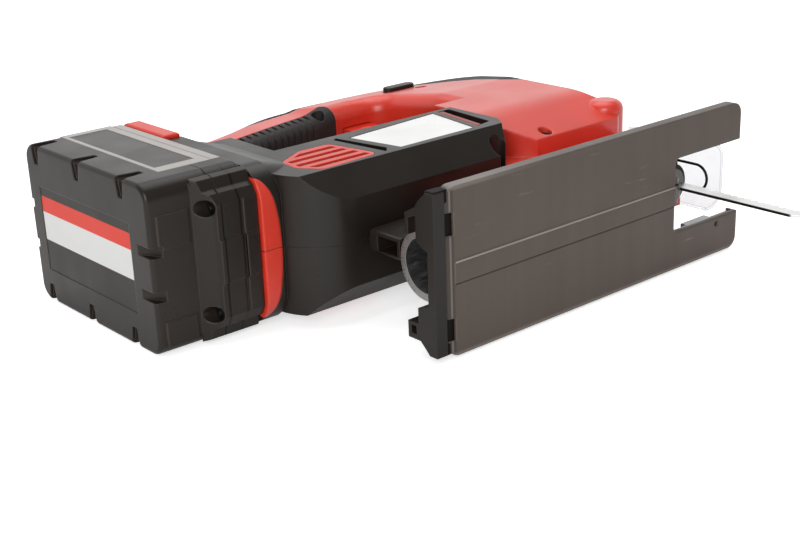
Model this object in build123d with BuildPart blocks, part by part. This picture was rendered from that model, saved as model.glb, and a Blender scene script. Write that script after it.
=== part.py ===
from build123d import *
import math
import os

os.makedirs("parts", exist_ok=True)

# The cordless jigsaw lies on its left side: +X is forward, +Y runs from the sole to the grip and
# +Z is the tool's right. Sizes below are read from the rear edge of the sole (x), the face of the
# sole (y) and the joint between the two body halves (z), in millimetres.

# Overall sizes
sole_length = 206.0
sole_width = 78.0
pack_width = 81.0
pack_length = 114.0
pack_depth = 52.0
deck_x = -37.2
pack_low = 94.7
handle_top = 226.0
blade_reach = 64.0

# Clearances and walls
joint_line = 0.2
slide_gap = 0.4
seat_gap = 0.3
run_gap = 0.05
shell_wall = 3.0

# Red body shell
band_width = 10.0
band_half = 38.5
band_low = 83.5
band_top = 205.0
band_corner = 16.0
band_skin = 3.0
band_arch = 34.0
root_low = 177.0
underside_high = 199.0
underside_front = 118.0
grip_half = 21.5
swell_rear = 80.0
back_dip_x = 2.0
back_rise_x = 45.0
crest_x = 112.0
head_half = 33.0
head_low = 68.5
head_edge = 22.5
crown_low = 98.5
crown_high = 152.0
crown_front = 191.0
knob_half = 24.5
knob_top = 207.0
nose_x = 201.0
nose_half = 24.0
lobe_radius = 10.0
lobe_half = 30.0
lobe_round = 5.0
lobe_behind = 8.0
lobe_above = 12.0
skirt_rear = 50.0
skirt_front = 190.0
skirt_low = 24.5
skirt_half = 18.0
waist_low = 54.0
waist_half = 12.5
valley_x = 127.5
valley_high = 88.0
pillar_x = 130.0
pillar_round = 12.0
outline_round = 5.0
gap_round = 8.0
crown_round = 40.0
room_front = 178.5
room_low = 76.0
room_foot = 14.0
room_high = 186.0

# Housing screws
screw_radius = 1.6
screw_head = 3.4
screw_head_height = 2.6
screw_reach = 12.0

# Black motor cover
motor_y = 98.0
cover_half = 34.0
cover_room = 10.0
cover_bevel = 12.5
cover_front = 114.0
cover_chin = 100.0
chin_rise = 21.0
cover_heel = 30.0
cover_recess = 5.0
flare_front = -8.0
flare_draw = 8.0
riser_front = -2.0
riser_round = 12.0
riser_slope = 19.0
bore_rear = -14.0
label_depth = 1.2
label_thickness = 1.0
slot_depth = 3.0
vent_rear = -12.0
vent_front = 29.5
vent_low = 77.0
vent_high = 110.5
vent_round = 4.0
vent_rim = 2.5
vent_depth = 3.4
vent_bars = 4
vent_slit = 3.6

# Grip pads and front pad
pad_rear = 14.0
pad_front = 98.0
pad_height = 11.0
rib_pitch = 5.2
rib_groove = 2.2
rib_depth = 1.0
pad_notch = 172.0
back_strip = 5.0
strip_front = 104.0

# Trigger, switch and lock button
trigger_rear = 102.0
trigger_front = 122.0
trigger_half = 11.0
trigger_drop = 13.0
trigger_travel = 6.0
trigger_lip = 3.0
trigger_round = 2.0
lock_x = 150.0
lock_y = 205.0
lock_length = 22.0
lock_height = 7.0
lock_travel = 2.5
lock_proud = lock_travel + 0.5
lock_round = 0.8
switch_length = 11.0
switch_low = 200.5
switch_height = 17.0
switch_half = 12.0
switch_arm = 20.0
switch_arm_half = 8.0

# Motor
can_radius = 25.0
can_wall = 2.5
can_rear = 32.0
can_front = 94.0
shaft_radius = 4.0
spigot_radius = 2.0
core_radius = 20.0
core_rear = 36.0
core_front = 86.0
core_gap = 0.6
core_slots = 10
core_slot_width = 3.0
core_slot_depth = 6.0
winding_radius = 16.0
winding_length = 6.0
magnet_gap = 5.0
commutator_rear = 16.0
commutator_length = 12.0
commutator_radius = 9.5
brush_half = 3.0
brush_length = 9.0
box_wall = 1.5
bearing_radius = 11.0
bearing_width = 8.0
brush_rear = 6.0
fan_rear = 98.0
fan_radius = 23.5
fan_width = 10.0
fan_disc = 2.0
fan_blades = 10

# Gears: the pinion runs on the motor axis, the driven gear stands above it
tooth_module = 1.0
pinion_teeth = 8
pinion_tip = 4.9
pinion_root = 3.25
pinion_rear = 128.0
pinion_front = 143.0
gear_teeth = 42
gear_tip = 21.45
gear_root = 19.85
pressure_angle = 20.0
tooth_share = 0.86
gear_rear = 134.0
gear_width = 8.0
axle_radius = 4.0
axle_head = 4.5
stroke = 26.0
crank_pin_radius = 3.5
crank_pin_length = 8.0

# Gear case and plunger
case_rear = 115.0
case_plate = 11.0
case_round = 4.0
arm_low = 53.0
arm_high = 65.0
arm_half = 11.0
arm_front = 181.0
guide_rear = 158.0
guide_low = 160.0
guide_high = 174.0
plunger_x = 170.0
plunger_radius = 5.0
plunger_top = 179.0
bush_radius = 8.0
yoke_half = 21.5
yoke_height = 18.0
yoke_depth = 10.0
yoke_web = 7.0
roller_radius = 4.2

# Blade, clamp and guide roller
blade_width = 8.0
blade_thickness = 1.3
blade_tang = 11.0
blade_tip_slope = 6.0
tooth_pitch = 4.0
tooth_depth = 2.0
tooth_start = 6.0
clamp_low = 13.3
clamp_high = 26.5
clamp_radius = 8.0
collar_radius = 10.5
collar_tab = 12.5
collar_tab_width = 8.0
collar_inset = 1.2
collar_round = 2.0
bay_rear = 144.5
bay_half = 13.5
guide_radius = 4.5
guide_width = 7.0
guide_y = 8.0
guide_pin = 1.95
fork_x = 151.0
fork_y = 44.0
fork_plate = 2.5
fork_inner = 3.9
fork_hub = 5.0
fork_arm = 3.5
fork_foot = 4.7
fork_pin_radius = 2.5
fork_pin_seat = 2.5
selector_x = 132.0
selector_y = 46.0
selector_radius = 9.0
selector_reach = 14.0
selector_spindle = 4.0
selector_seat = 3.5
selector_thickness = 4.0
selector_round = 1.0

# Shoe
sole_thickness = 2.4
lip_height = 6.0
lip_width = 1.2
sole_corner = 6.0
fork_behind = 16.0
fork_round = 3.0
fork_step = 4.5
fork_width = 38.7
runner_width = 9.6
runner_height = 0.4
notch_right = 22.4
notch_left = -26.4
notch_width = 10.5
notch_depth = 4.5
rear_slope = 1.6
hole_x = 189.0
hole_z = -22.8
hole_radius = 1.5
plate_thickness = 2.8
bevel_y = 16.0
saddle_radius = 16.5
saddle_wall = 3.5
saddle_rear = 1.5
saddle_front = 140.0
bevel_angle = 45.0
bolt_x = 62.0
bolt_radius = 3.5
bolt_slot = 10.0
bolt_plate = 3.0
bolt_plate_half = 6.0
bolt_plate_reach = 9.0
lever_low = 46.0
lever_high = 57.0
lever_rear = 4.0
lever_hub = 8.0
lever_end_low = 36.0
lever_end_z = 1.6
lever_end_width = 10.8
lever_end_length = 16.0
lever_round = 2.0
lever_wall = 1.8
lever_hollow = 12.0
lever_hollow_high = 51.5
clip_rear = 6.5
clip_low = 0.6
clip_high = 5.5
clip_half = 37.5
clip_ear = 12.5
clip_round = 5.0
clip_shoulder = 6.5
hook_high = 19.5
hook_wall = 2.0
insert_rear = 171.0
insert_front = 190.0
insert_height = 6.5
insert_width = 3.5

# Shield and wire guard
shield_front = 203.5
shield_wall = 1.8
shield_low = 8.0
shield_high = 61.0
shield_half = skirt_half
shield_corner = 10.0
wire_radius = 0.7
wire_x = 187.5
wire_half = 7.0
wire_low = 6.0

# Battery pack
split_x = -56.0
pack_wall = 3.0
end_wall = 8.0
pack_edge = 2.0
pack_corner = 8.0
neck_half = 26.4
rail_half = 30.0
rail_lip = 2.5
rail_high = -30.0
rail_floor = -36.4
rail_rear = 96.0
rail_front = 204.0
terminal_low = 99.0
terminal_high = 135.0
terminal_half = 12.0
terminal_pitch = 7.5
terminal_slit = 0.8
terminal_stop = 140.0
cell_radius = 9.2
cell_length = 65.0
cell_pitch = 18.8
cells_along = 5
block_rear = -66.5
block_step = -60.0
block_low = 85.0
block_half = 32.0
panel_half = 10.0
block_neck = 91.0
end_screw_y = 90.4
end_screw_z = 25.4
end_screw_radius = 3.6
end_screw_seat = -57.4
end_screw_length = 8.0
rib_rear = -85.0
rib_front = -68.5
rib_proud = 0.7
rib_bands = [(10.0, 26.0), (-36.0, -24.0)]
wedge_depth = 1.8
wedge_half = 4.0
wedge_tip = 2.0
wedge_across = 9.5
wedge_along = 12.0
wedge_spots = [116.7, 157.2, 197.6]
corner_spots = [9.5, -11.5]
corner_width = 5.0
corner_reach = 6.0
near_reach = 11.0
far_reach = 3.5
plate_recess = 1.0
plate_sheet = 0.8
plate_rear = -72.0
plate_front = -43.5
plate_low = 111.0
plate_high = 204.0
rating_low = 112.0
rating_high = 197.0
rating_left = -23.0
rating_right = 20.0
seam_x = -45.0
seam_width = 0.8
seam_depth = 0.6
latch_low = 165.0
latch_high = 203.0
latch_inner = 35.5
latch_travel = 2.0
latch_proud = 2.0
latch_round = 1.5
stem_low = 168.0
stem_high = 188.0
stem_rear = -41.0
stem_width = 3.0

# Frame: the origin is the middle of the floor area under the tool
pack_rear = deck_x - pack_depth
origin_x = -(sole_length + pack_rear) / 2
origin_y = -(handle_top - blade_reach) / 2
origin_z = pack_width / 2


def side(z=0.0):
    """Plane seen from the tool's right: local x forward, local y towards the grip."""
    return Plane((origin_x, origin_y, origin_z + z), x_dir=(1, 0, 0), z_dir=(0, 0, 1))


def cross(x=0.0):
    """Plane across the tool: local x towards the grip, local y to the right."""
    return Plane((origin_x + x, origin_y, origin_z), x_dir=(0, 1, 0), z_dir=(1, 0, 0))


def plan(y=0.0):
    """Plane parallel to the sole: local x to the right, local y forward."""
    return Plane((origin_x, origin_y + y, origin_z), x_dir=(0, 0, 1), z_dir=(0, 1, 0))


def box(plane, low, high, depth, mode=Mode.ADD, both=False):
    """Extrude the rectangle between two corners on a plane."""
    with BuildSketch(plane) as profile:
        with Locations(((low[0] + high[0]) / 2, (low[1] + high[1]) / 2)):
            Rectangle(abs(high[0] - low[0]), abs(high[1] - low[1]))
    extrude(profile.sketch, amount=depth, both=both, mode=mode)


def rod(plane, centre, radius, depth, mode=Mode.ADD, both=False):
    """Extrude a circle on a plane."""
    with BuildSketch(plane) as profile:
        with Locations(centre):
            Circle(radius)
    extrude(profile.sketch, amount=depth, both=both, mode=mode)


def prism(plane, points, depth, mode=Mode.ADD, both=False, soft=(), radius=0.0):
    """Extrude a polygon on a plane, with the corners listed as soft rounded to a radius."""
    with BuildSketch(plane) as profile:
        with BuildLine():
            Polyline(*points, close=True)
        make_face()
        if soft:
            fillet([profile.vertices().sort_by_distance(corner)[0] for corner in soft], radius)
    extrude(profile.sketch, amount=depth, both=both, mode=mode)


def save(builder, name):
    """Label a finished piece and write it."""
    builder.part.label = name
    export_step(builder.part, f"parts/{name}.step")


def tooth_outline(centre, teeth, tip, root, phase):
    """Outline of a spur gear with involute flanks, thinned a little for backlash."""
    pitch = tooth_module * teeth / 2
    base = pitch * math.cos(math.radians(pressure_angle))

    def half_width(radius):
        slope = math.acos(base / max(radius, base))
        rest = math.radians(pressure_angle)
        return tooth_share * math.pi / (2 * teeth) + math.tan(rest) - rest - math.tan(slope) + slope

    points = []
    for tooth in range(teeth):
        middle = phase + 2 * math.pi * tooth / teeth
        for flank, radii in ((-1, (root, pitch, tip)), (1, (tip, pitch, root))):
            for radius in radii:
                angle = middle + flank * half_width(radius)
                points.append((centre + radius * math.cos(angle), radius * math.sin(angle)))
    return points


# Values worked out from the driving sizes
band_front = deck_x + 0.5 + band_width
band_rear = deck_x + 0.5
cover_low = motor_y - can_radius - cover_room
cover_high = motor_y + can_radius + cover_room
gear_y = motor_y + tooth_module * (pinion_teeth + gear_teeth) / 2
crank_radius = stroke / 2
crank_y = gear_y - crank_radius
gear_front = gear_rear + gear_width
yoke_rear = gear_front + crank_pin_length + seat_gap
blade_back = plunger_x - blade_width / 2
roller_x = blade_back - seat_gap - guide_radius
head_rear = cover_front + joint_line
trigger_seat = underside_high + 4.5
lip_stop = trigger_seat + trigger_lip + trigger_travel + slide_gap
switch_rear = trigger_front + trigger_lip + 1.5
switch_front = switch_rear + switch_length
switch_high = switch_low + switch_height


# Section of the gear room inside the red head, as (height, half width), drawn in by an inset
def room_section(inset):
    wide = head_half - shell_wall - 0.5 - inset
    return [
        (room_low + inset, 0),
        (room_low + inset, room_foot - inset),
        (crown_low + inset, wide),
        (cover_high - 5 - inset, wide),
        (room_high - inset, grip_half - shell_wall - inset),
        (room_high - inset, 0),
    ]


# Underside of the grip bar: half a cosine wave from the foot up to the trigger
def underside(x):
    share = (x - band_front) / (underside_front - band_front)
    return root_low + (underside_high - root_low) * (1 - math.cos(math.pi * share)) / 2


underside_steps = 6
underside_points = []
for step in range(underside_steps + 1):
    step_x = underside_front + (band_front - underside_front) * step / underside_steps
    underside_points.append((step_x, underside(step_x)))


# Valley between the head and the slanted front edge of the motor cover, seen from the side
def valley(grow):
    return [
        (cover_chin, cover_low - 1),
        (head_rear - 2, valley_high + grow),
        (head_rear, valley_high + grow),
        (valley_x + grow, head_low),
        (valley_x + grow, cover_low - 1),
    ]


# Room for the gears inside the right half of the head, clear of the valley
with BuildPart() as gear_room:
    prism(cross(head_rear - 1), room_section(0.0), room_front - head_rear + 1)
    prism(side(arm_half), valley(shell_wall), head_half, mode=Mode.SUBTRACT)
    box(side(), (head_rear - 2, cover_high - shell_wall), (pillar_x + shell_wall, room_high + 1),
        head_half, mode=Mode.SUBTRACT)


def band_cap(play):
    """Outer layer of the foot band that belongs to the motor cover, outside an arch on its lower end."""
    with BuildPart() as cap:
        with BuildSketch(cross(band_rear)) as layer:
            with Locations(((band_low + band_top) / 2, 0)):
                inset = 2 * (band_skin - play)
                RectangleRounded(band_top - band_low, 2 * band_half, band_corner)
                RectangleRounded(band_top - band_low - inset, 2 * band_half - inset, band_corner - inset / 2,
                                 mode=Mode.SUBTRACT)
        extrude(layer.sketch, amount=band_width + joint_line)
        with BuildSketch(plan(band_low - 1)) as arch:
            with Locations((0, band_rear)):
                Ellipse(band_arch + play, band_width + play)
        extrude(arch.sketch, amount=band_corner, mode=Mode.SUBTRACT)
        box(side(), (band_rear - 1, latch_low - slide_gap - play), (band_front + 1, band_top + 1),
            band_half + 1, mode=Mode.SUBTRACT, both=True)
        split(bisect_by=side(), keep=Keep.TOP)
    return cap.part


band_cap_room = band_cap(0.0)
band_cap_piece = band_cap(joint_line)

# Back line of the grip bar, from the foot to the crest over the trigger
back_line = [
    (band_rear, band_top),
    (back_dip_x, band_top - 2),
    (back_rise_x, band_top + 12),
    (crest_x, handle_top),
]

# Round lobe on the lower corner of the nose
with BuildPart() as nose_lobe:
    rod(side(), (nose_x - lobe_behind, head_low + lobe_above), lobe_radius, lobe_half)
    fillet(edges().filter_by(GeomType.CIRCLE).sort_by(Axis.Z)[-1], lobe_round)

# Right half of the red body: one side outline, given its widths by a view along the tool and two
# slopes seen from the grip
with BuildPart() as red_body:
    with BuildSketch(side()):
        with BuildLine():
            brow = (nose_x, guide_high)
            cheek = (nose_x, head_low + 16)
            pillar_foot = (pillar_x, underside_high - pillar_round)
            Spline(*back_line, tangents=((1, 0), (1, 0)))
            Spline(back_line[-1], (nose_x - 35, knob_top + 8.5), (nose_x - 10, knob_top - 5), brow,
                   tangents=((1, 0), (0, -1)))
            Line(brow, cheek)
            ThreePointArc(cheek, (nose_x - 3.5, head_low + 6), (skirt_front, head_low))
            Polyline(
                (skirt_front, head_low),
                (skirt_front, skirt_low),
                (skirt_rear, skirt_low),
                (skirt_rear, cover_low - joint_line),
                (cover_chin + joint_line, cover_low - joint_line),
                (cover_front + joint_line, cover_low + chin_rise),
                (cover_front + joint_line, cover_high + joint_line),
                (pillar_x, cover_high + joint_line),
                pillar_foot,
            )
            RadiusArc(pillar_foot, (underside_front, underside_high), -pillar_round)
            Spline(*underside_points, tangents=((-1, 0), (-1, 0)))
            Polyline((band_front, root_low), (band_rear, root_low), (band_rear, band_top))
        make_face()
    extrude(amount=head_half)
    # widths seen along the tool: skirt, waist under the head, sloped underside, crown, knob
    prism(cross(band_rear - 1), [
        (skirt_low - 1, 0),
        (skirt_low - 1, skirt_half),
        (waist_low, skirt_half),
        (head_low, waist_half),
        (head_low, head_edge),
        (crown_low, head_half),
        (crown_high, head_half),
        (knob_top, knob_half),
        (handle_top + 1, grip_half),
        (handle_top + 1, 0),
    ], nose_x - band_rear + 2, mode=Mode.INTERSECT, soft=[(crown_low, head_half), (crown_high, head_half)],
        radius=crown_round)
    # narrow grip bar that swells towards the knob, and the sloped nose
    prism(plan(root_low - 1), [
        (grip_half, band_rear - 1),
        (grip_half, swell_rear),
        (head_half, pillar_x),
        (head_half + 1, pillar_x),
        (head_half + 1, band_rear - 1),
    ], handle_top - root_low + 2, mode=Mode.SUBTRACT, soft=[(grip_half, swell_rear)], radius=crown_round)
    prism(plan(skirt_low), [
        (head_half, crown_front),
        (nose_half, nose_x),
        (nose_half, nose_x + 1),
        (head_half + 1, nose_x + 1),
        (head_half + 1, crown_front),
    ], handle_top - skirt_low, mode=Mode.SUBTRACT)
    # rounded rim: back of the grip bar, knob and nose, then the edge of the hand gap
    rim = edges().filter_by(lambda edge: edge.center().Z > origin_z + grip_half - 1)
    curved = rim.filter_by(GeomType.BSPLINE)
    nose_rim = rim.filter_by(lambda edge: edge.center().X > origin_x + nose_x - 2)
    back_rim = curved.filter_by(lambda edge: edge.center().Y > origin_y + underside_high + 1)
    gap_rim = curved.filter_by(lambda edge: edge.center().Y < origin_y + underside_high)
    gap_rim = gap_rim.filter_by(lambda edge: edge.center().X < origin_x + pillar_x)
    pillar_rim = rim.filter_by(lambda edge: underside_front < edge.center().X - origin_x < pillar_x + 0.1)
    pillar_rim = pillar_rim.filter_by(lambda edge: edge.center().Y > origin_y + cover_high + 1)
    fillet(set(gap_rim + pillar_rim), gap_round)
    fillet(set(nose_rim + back_rim), outline_round)
    prism(side(waist_half), valley(0.0), head_half, mode=Mode.SUBTRACT)
    add(nose_lobe.part)
    # foot band around the pack rails, less the layer that the motor cover lays over it
    with BuildSketch(cross(band_rear)) as band:
        with Locations(((band_low + band_top) / 2, 0)):
            RectangleRounded(band_top - band_low, 2 * band_half, band_corner)
    extrude(band.sketch, amount=band_width)
    add(band_cap_room, mode=Mode.SUBTRACT)
    # rail channel, open towards the grip end
    channel_low = pack_low + 0.8
    box(side(), (band_rear - 1, channel_low), (band_rear + rail_lip + 1, band_top + 1),
        neck_half + slide_gap, mode=Mode.SUBTRACT)
    box(side(), (band_rear + rail_lip, channel_low), (rail_high + slide_gap, band_top + 1),
        rail_half + slide_gap, mode=Mode.SUBTRACT)
    # notch for the latch button, open towards the grip end
    latch_floor = latch_inner - latch_travel - slide_gap
    box(side(latch_floor), (band_rear - 1, latch_low - slide_gap), (band_front + 1, band_top + 1),
        band_half, mode=Mode.SUBTRACT)
    # gear room, pocket for the lower arm, blade bay
    add(gear_room.part, mode=Mode.SUBTRACT)
    box(side(), (case_rear - seat_gap, arm_low), (case_rear + case_plate + seat_gap, room_low + 1),
        arm_half + seat_gap, mode=Mode.SUBTRACT)
    box(side(), (case_rear, arm_low), (arm_front + seat_gap, arm_high + seat_gap),
        arm_half + seat_gap, mode=Mode.SUBTRACT)
    box(side(), (bay_rear, skirt_low - 1), (skirt_front + 1, arm_low), bay_half, mode=Mode.SUBTRACT)
    # plunger way through the floor of the gear room and up into the knob
    rod(plan(arm_high), (0, plunger_x), plunger_radius + 1, plunger_top + stroke + 1 - arm_high,
        mode=Mode.SUBTRACT)
    # cradle over the bevel saddle, slot for the bevel lever and hole for its bolt
    rod(cross(skirt_rear - 1), (bevel_y, 0), saddle_radius + seat_gap, skirt_front - skirt_rear + 2,
        mode=Mode.SUBTRACT)
    box(side(), (skirt_rear - 1, lever_low - slide_gap), (bolt_x + lever_hub + 6, lever_high + slide_gap),
        grip_half + 1, mode=Mode.SUBTRACT)
    rod(plan(skirt_low), (0, bolt_x), bolt_radius + run_gap, lever_high - skirt_low + 3, mode=Mode.SUBTRACT)
    # fork pin holes
    rod(side(), (fork_x, fork_y), fork_pin_radius + run_gap, bay_half + fork_pin_seat, mode=Mode.SUBTRACT)
    # trigger way, switch pocket and lock button slot
    box(side(), (trigger_rear - slide_gap, underside_high - 8), (trigger_front + slide_gap, trigger_seat),
        trigger_half + slide_gap, mode=Mode.SUBTRACT)
    box(side(), (trigger_rear - trigger_lip - slide_gap, trigger_seat - seat_gap),
        (trigger_front + trigger_lip + slide_gap, lip_stop),
        trigger_half + trigger_lip, mode=Mode.SUBTRACT)
    box(side(), (switch_rear, switch_low), (switch_front, switch_high), switch_half, mode=Mode.SUBTRACT)
    box(side(), (switch_rear - switch_arm, lip_stop), (switch_rear + 1, switch_high), switch_arm_half,
        mode=Mode.SUBTRACT)
    with BuildSketch(side()) as lock_slot:
        with Locations((lock_x, lock_y)):
            SlotOverall(lock_length + 2 * slide_gap, lock_height + 2 * slide_gap)
    extrude(lock_slot.sketch, amount=head_half, mode=Mode.SUBTRACT)
    split(bisect_by=side(), keep=Keep.TOP)

# Zones of the grip bar that the soft grip takes, a band along its underside and a strip on its back
with BuildPart() as grip_zone:
    with BuildSketch(side(-1)):
        with BuildLine():
            middle = (pad_rear + pad_front) / 2
            rear_top = (pad_rear + 5, underside(pad_rear) + pad_height)
            front_top = (pad_front - 5, underside(pad_front) + pad_height)
            Spline(rear_top, (middle, underside(middle) + pad_height), front_top)
            Polyline(
                front_top,
                (pad_front, underside(pad_front) - 8),
                (pad_rear, underside(pad_rear) - 8),
                rear_top,
            )
        make_face()
        with BuildLine():
            lower = [(x, y - back_strip) for x, y in back_line[1:]]
            Spline(*lower)
            Polyline(lower[-1], (crest_x, handle_top + 1), (back_dip_x, handle_top + 1), lower[0])
        make_face()
    extrude(amount=grip_half + 5)
    box(side(-1), (strip_front, underside_high), (crest_x + 1, handle_top + 1), grip_half + 7,
        mode=Mode.SUBTRACT)

# Zone of the knob that the soft front pad takes
knob_zone_points = [
    (lock_x, handle_top),
    (nose_x - 23, pad_notch + 14),
    (nose_x - 18, pad_notch),
    (nose_x - 19, pad_notch - 21),
    (nose_x - 1, cover_high - 2),
    (nose_x + 1, cover_high - 2),
    (nose_x + 1, handle_top),
]
with BuildPart() as knob_zone:
    prism(side(-1), knob_zone_points, head_half + 2)

# Housing screws as (x, y, height of the seat under the head)
shell_screws = [(138.0, room_low - 2.5, 20.0), (158.0, 194.0, 18.0), (8.0, 191.0, 10.0)]
grip_screw = (86.0, 201.5, 10.0)
cover_screw = (98.0, motor_y - can_radius - 6, 8.0)


def screw_holes(spots, right, recess=screw_head + slide_gap):
    """Counterbore and clearance hole on the right side, a blind pilot hole on the left."""
    for x, y, seat in spots:
        if right:
            rod(side(), (x, y), screw_radius + slide_gap, head_half, mode=Mode.SUBTRACT)
            rod(side(seat), (x, y), recess, head_half, mode=Mode.SUBTRACT)
        else:
            rod(side(-screw_reach), (x, y), screw_radius + run_gap, screw_reach, mode=Mode.SUBTRACT)


with BuildPart() as right_shell:
    add(red_body.part)
    add(grip_zone.part, mode=Mode.SUBTRACT)
    add(knob_zone.part, mode=Mode.SUBTRACT)
    screw_holes(shell_screws + [grip_screw], right=True)
save(right_shell, "right_shell")

with BuildPart() as left_shell:
    add(red_body.part)
    add(grip_zone.part, mode=Mode.SUBTRACT)
    add(knob_zone.part, mode=Mode.SUBTRACT)
    mirror(about=side(), mode=Mode.REPLACE)
    screw_holes(shell_screws + [grip_screw], right=False)
    # spindle hole of the pendulum lever
    rod(side(-skirt_half - 1), (selector_x, selector_y), selector_spindle + run_gap, selector_seat + 1,
        mode=Mode.SUBTRACT)
save(left_shell, "left_shell")

# Soft grip under the bar, ribbed across
with BuildPart() as grip_blank:
    add(red_body.part)
    add(grip_zone.part, mode=Mode.INTERSECT)
    rib_count = int((pad_front - pad_rear - 20) / rib_pitch)
    for rib in range(rib_count):
        rib_x = pad_rear + 6 + rib * rib_pitch
        floor = underside(rib_x)
        with BuildSketch(cross(rib_x)) as groove:
            with Locations((floor + pad_height, 0)):
                Rectangle(2 * pad_height + 6, 2 * grip_half + 4)
                RectangleRounded(2 * (pad_height - rib_depth), 2 * (grip_half - rib_depth), outline_round,
                                 mode=Mode.SUBTRACT)
        extrude(groove.sketch, amount=rib_groove, mode=Mode.SUBTRACT)

with BuildPart() as right_grip:
    add(grip_blank.part)
    screw_holes([grip_screw], right=True)
save(right_grip, "right_grip")

with BuildPart() as left_grip:
    mirror(grip_blank.part, about=side())
    screw_holes([grip_screw], right=False)
save(left_grip, "left_grip")

# Soft pad on the front of the knob
with BuildPart() as right_front_pad:
    add(red_body.part)
    add(knob_zone.part, mode=Mode.INTERSECT)
save(right_front_pad, "right_front_pad")

with BuildPart() as left_front_pad:
    mirror(right_front_pad.part, about=side())
save(left_front_pad, "left_front_pad")

# Outline of the air inlet on the motor cover
vent_points = [
    (vent_rear, vent_high - 10),
    (vent_rear + 17, vent_high),
    (vent_front - 6, vent_high),
    (vent_front, vent_low + 2),
    (vent_rear + 7, vent_low),
    (vent_rear - 1, vent_low + 11),
]


def vent_outline(z, grow, depth, mode):
    """Extrude the rounded outline of the air inlet, drawn larger or smaller."""
    with BuildSketch(side(z)) as profile:
        with BuildLine():
            Polyline(*vent_points, close=True)
        make_face()
        fillet(profile.vertices(), vent_round)
        if grow:
            offset(amount=grow)
    extrude(profile.sketch, amount=depth, mode=mode)


# Black motor cover, right half before its label: barrel, riser to the grip, foot, motor bore, vent opening
cover_rear = band_front + joint_line
riser_top = root_low - joint_line
with BuildPart() as black_cover:
    prism(cross(cover_rear), [
        (cover_low, 0),
        (cover_low, cover_half - cover_bevel),
        (cover_low + cover_bevel, cover_half),
        (cover_high - cover_bevel, cover_half),
        (cover_high, cover_half - cover_bevel),
        (cover_high, 0),
    ], cover_front - cover_rear)
    with BuildSketch(side()) as barrel:
        with BuildLine():
            Polyline(
                (cover_rear, cover_low),
                (cover_chin, cover_low),
                (cover_front, cover_low + chin_rise),
                (cover_front, cover_high),
                (cover_rear, cover_high),
                close=True,
            )
        make_face()
        fillet(barrel.vertices().sort_by_distance((cover_rear, cover_low))[0], cover_heel)
    extrude(barrel.sketch, amount=cover_half, mode=Mode.INTERSECT)
    prism(cross(cover_rear), [
        (motor_y, 0),
        (motor_y, cover_half),
        (riser_top - riser_slope, cover_half),
        (riser_top, grip_half),
        (riser_top, 0),
    ], riser_front - cover_rear)
    riser_foot = (origin_x + riser_front, origin_y + cover_high, origin_z)
    fillet(edges().filter_by(Axis.Z).sort_by_distance(riser_foot)[0], riser_round)
    # flare towards the foot band, and the layer laid over the band
    flare_middle = (band_low + latch_low) / 2
    flare_length = latch_low - slide_gap - band_low
    with BuildSketch(cross(cover_rear)) as flare_foot:
        with Locations((flare_middle, 0)):
            RectangleRounded(flare_length, 2 * band_half, band_corner)
    with BuildSketch(cross(flare_front)) as flare_tip:
        with Locations((flare_middle, 0)):
            RectangleRounded(flare_length - 2 * flare_draw, 2 * cover_half - 2, band_corner - flare_draw)
    loft([flare_foot.sketch.face(), flare_tip.sketch.face()])
    add(band_cap_piece)
    rod(cross(bore_rear), (motor_y, 0), can_radius + seat_gap, cover_front - bore_rear, mode=Mode.SUBTRACT)
    vent_outline(cover_half - vent_depth, joint_line, vent_depth + flare_draw, Mode.SUBTRACT)
    vent_outline(0, -vent_rim, cover_half, Mode.SUBTRACT)
    split(bisect_by=side(), keep=Keep.TOP)

# Label recess and the open slots at its two ends
label_points = [(38.0, 112.0), (44.0, 79.5), (93.0, 80.0), (99.0, 117.5)]
front_slot = [(96.5, 80.5), (107.0, 83.0), (110.5, 117.5), (102.5, 117.5)]
rear_slot = [(vent_front, 114.0), (vent_front + 3.0, 116.0), (38.5, 83.5), (vent_front + 4.5, 78.5)]

with BuildPart() as right_motor_cover:
    add(black_cover.part)
    prism(side(cover_half - label_depth), label_points, label_depth + 1, mode=Mode.SUBTRACT)
    for slot in (front_slot, rear_slot):
        prism(side(cover_half - slot_depth), slot, slot_depth + 1, mode=Mode.SUBTRACT)
    screw_holes([cover_screw], right=True, recess=cover_recess)
save(right_motor_cover, "right_motor_cover")

with BuildPart() as left_motor_cover:
    mirror(black_cover.part, about=side())
    screw_holes([cover_screw], right=False)
save(left_motor_cover, "left_motor_cover")

# Bare label plate, let into the right cover
with BuildPart() as label_plate:
    with BuildSketch(side(cover_half - label_depth)) as label:
        with BuildLine():
            Polyline(*label_points, close=True)
        make_face()
        offset(amount=-joint_line, kind=Kind.INTERSECTION)
    extrude(label.sketch, amount=label_thickness)
save(label_plate, "label_plate")

# Louvred air inlet with bars along the tool
with BuildPart() as right_vent:
    vent_outline(cover_half - vent_depth, 0, vent_depth, Mode.ADD)
    with BuildSketch(side(cover_half - vent_depth)) as slits:
        for bar in range(vent_bars):
            share = (bar + 0.5) / vent_bars
            slit_y = vent_low + vent_rim + share * (vent_high - vent_low - 2 * vent_rim)
            with Locations(((vent_rear + vent_front) / 2, slit_y)):
                Rectangle(vent_front - vent_rear, vent_slit)
        with BuildLine():
            Polyline(*vent_points, close=True)
            offset(amount=-vent_rim, kind=Kind.INTERSECTION)
        make_face(mode=Mode.INTERSECT)
    extrude(slits.sketch, amount=vent_depth, mode=Mode.SUBTRACT)
save(right_vent, "right_vent")

with BuildPart() as left_vent:
    mirror(right_vent.part, about=side())
save(left_vent, "left_vent")

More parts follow.
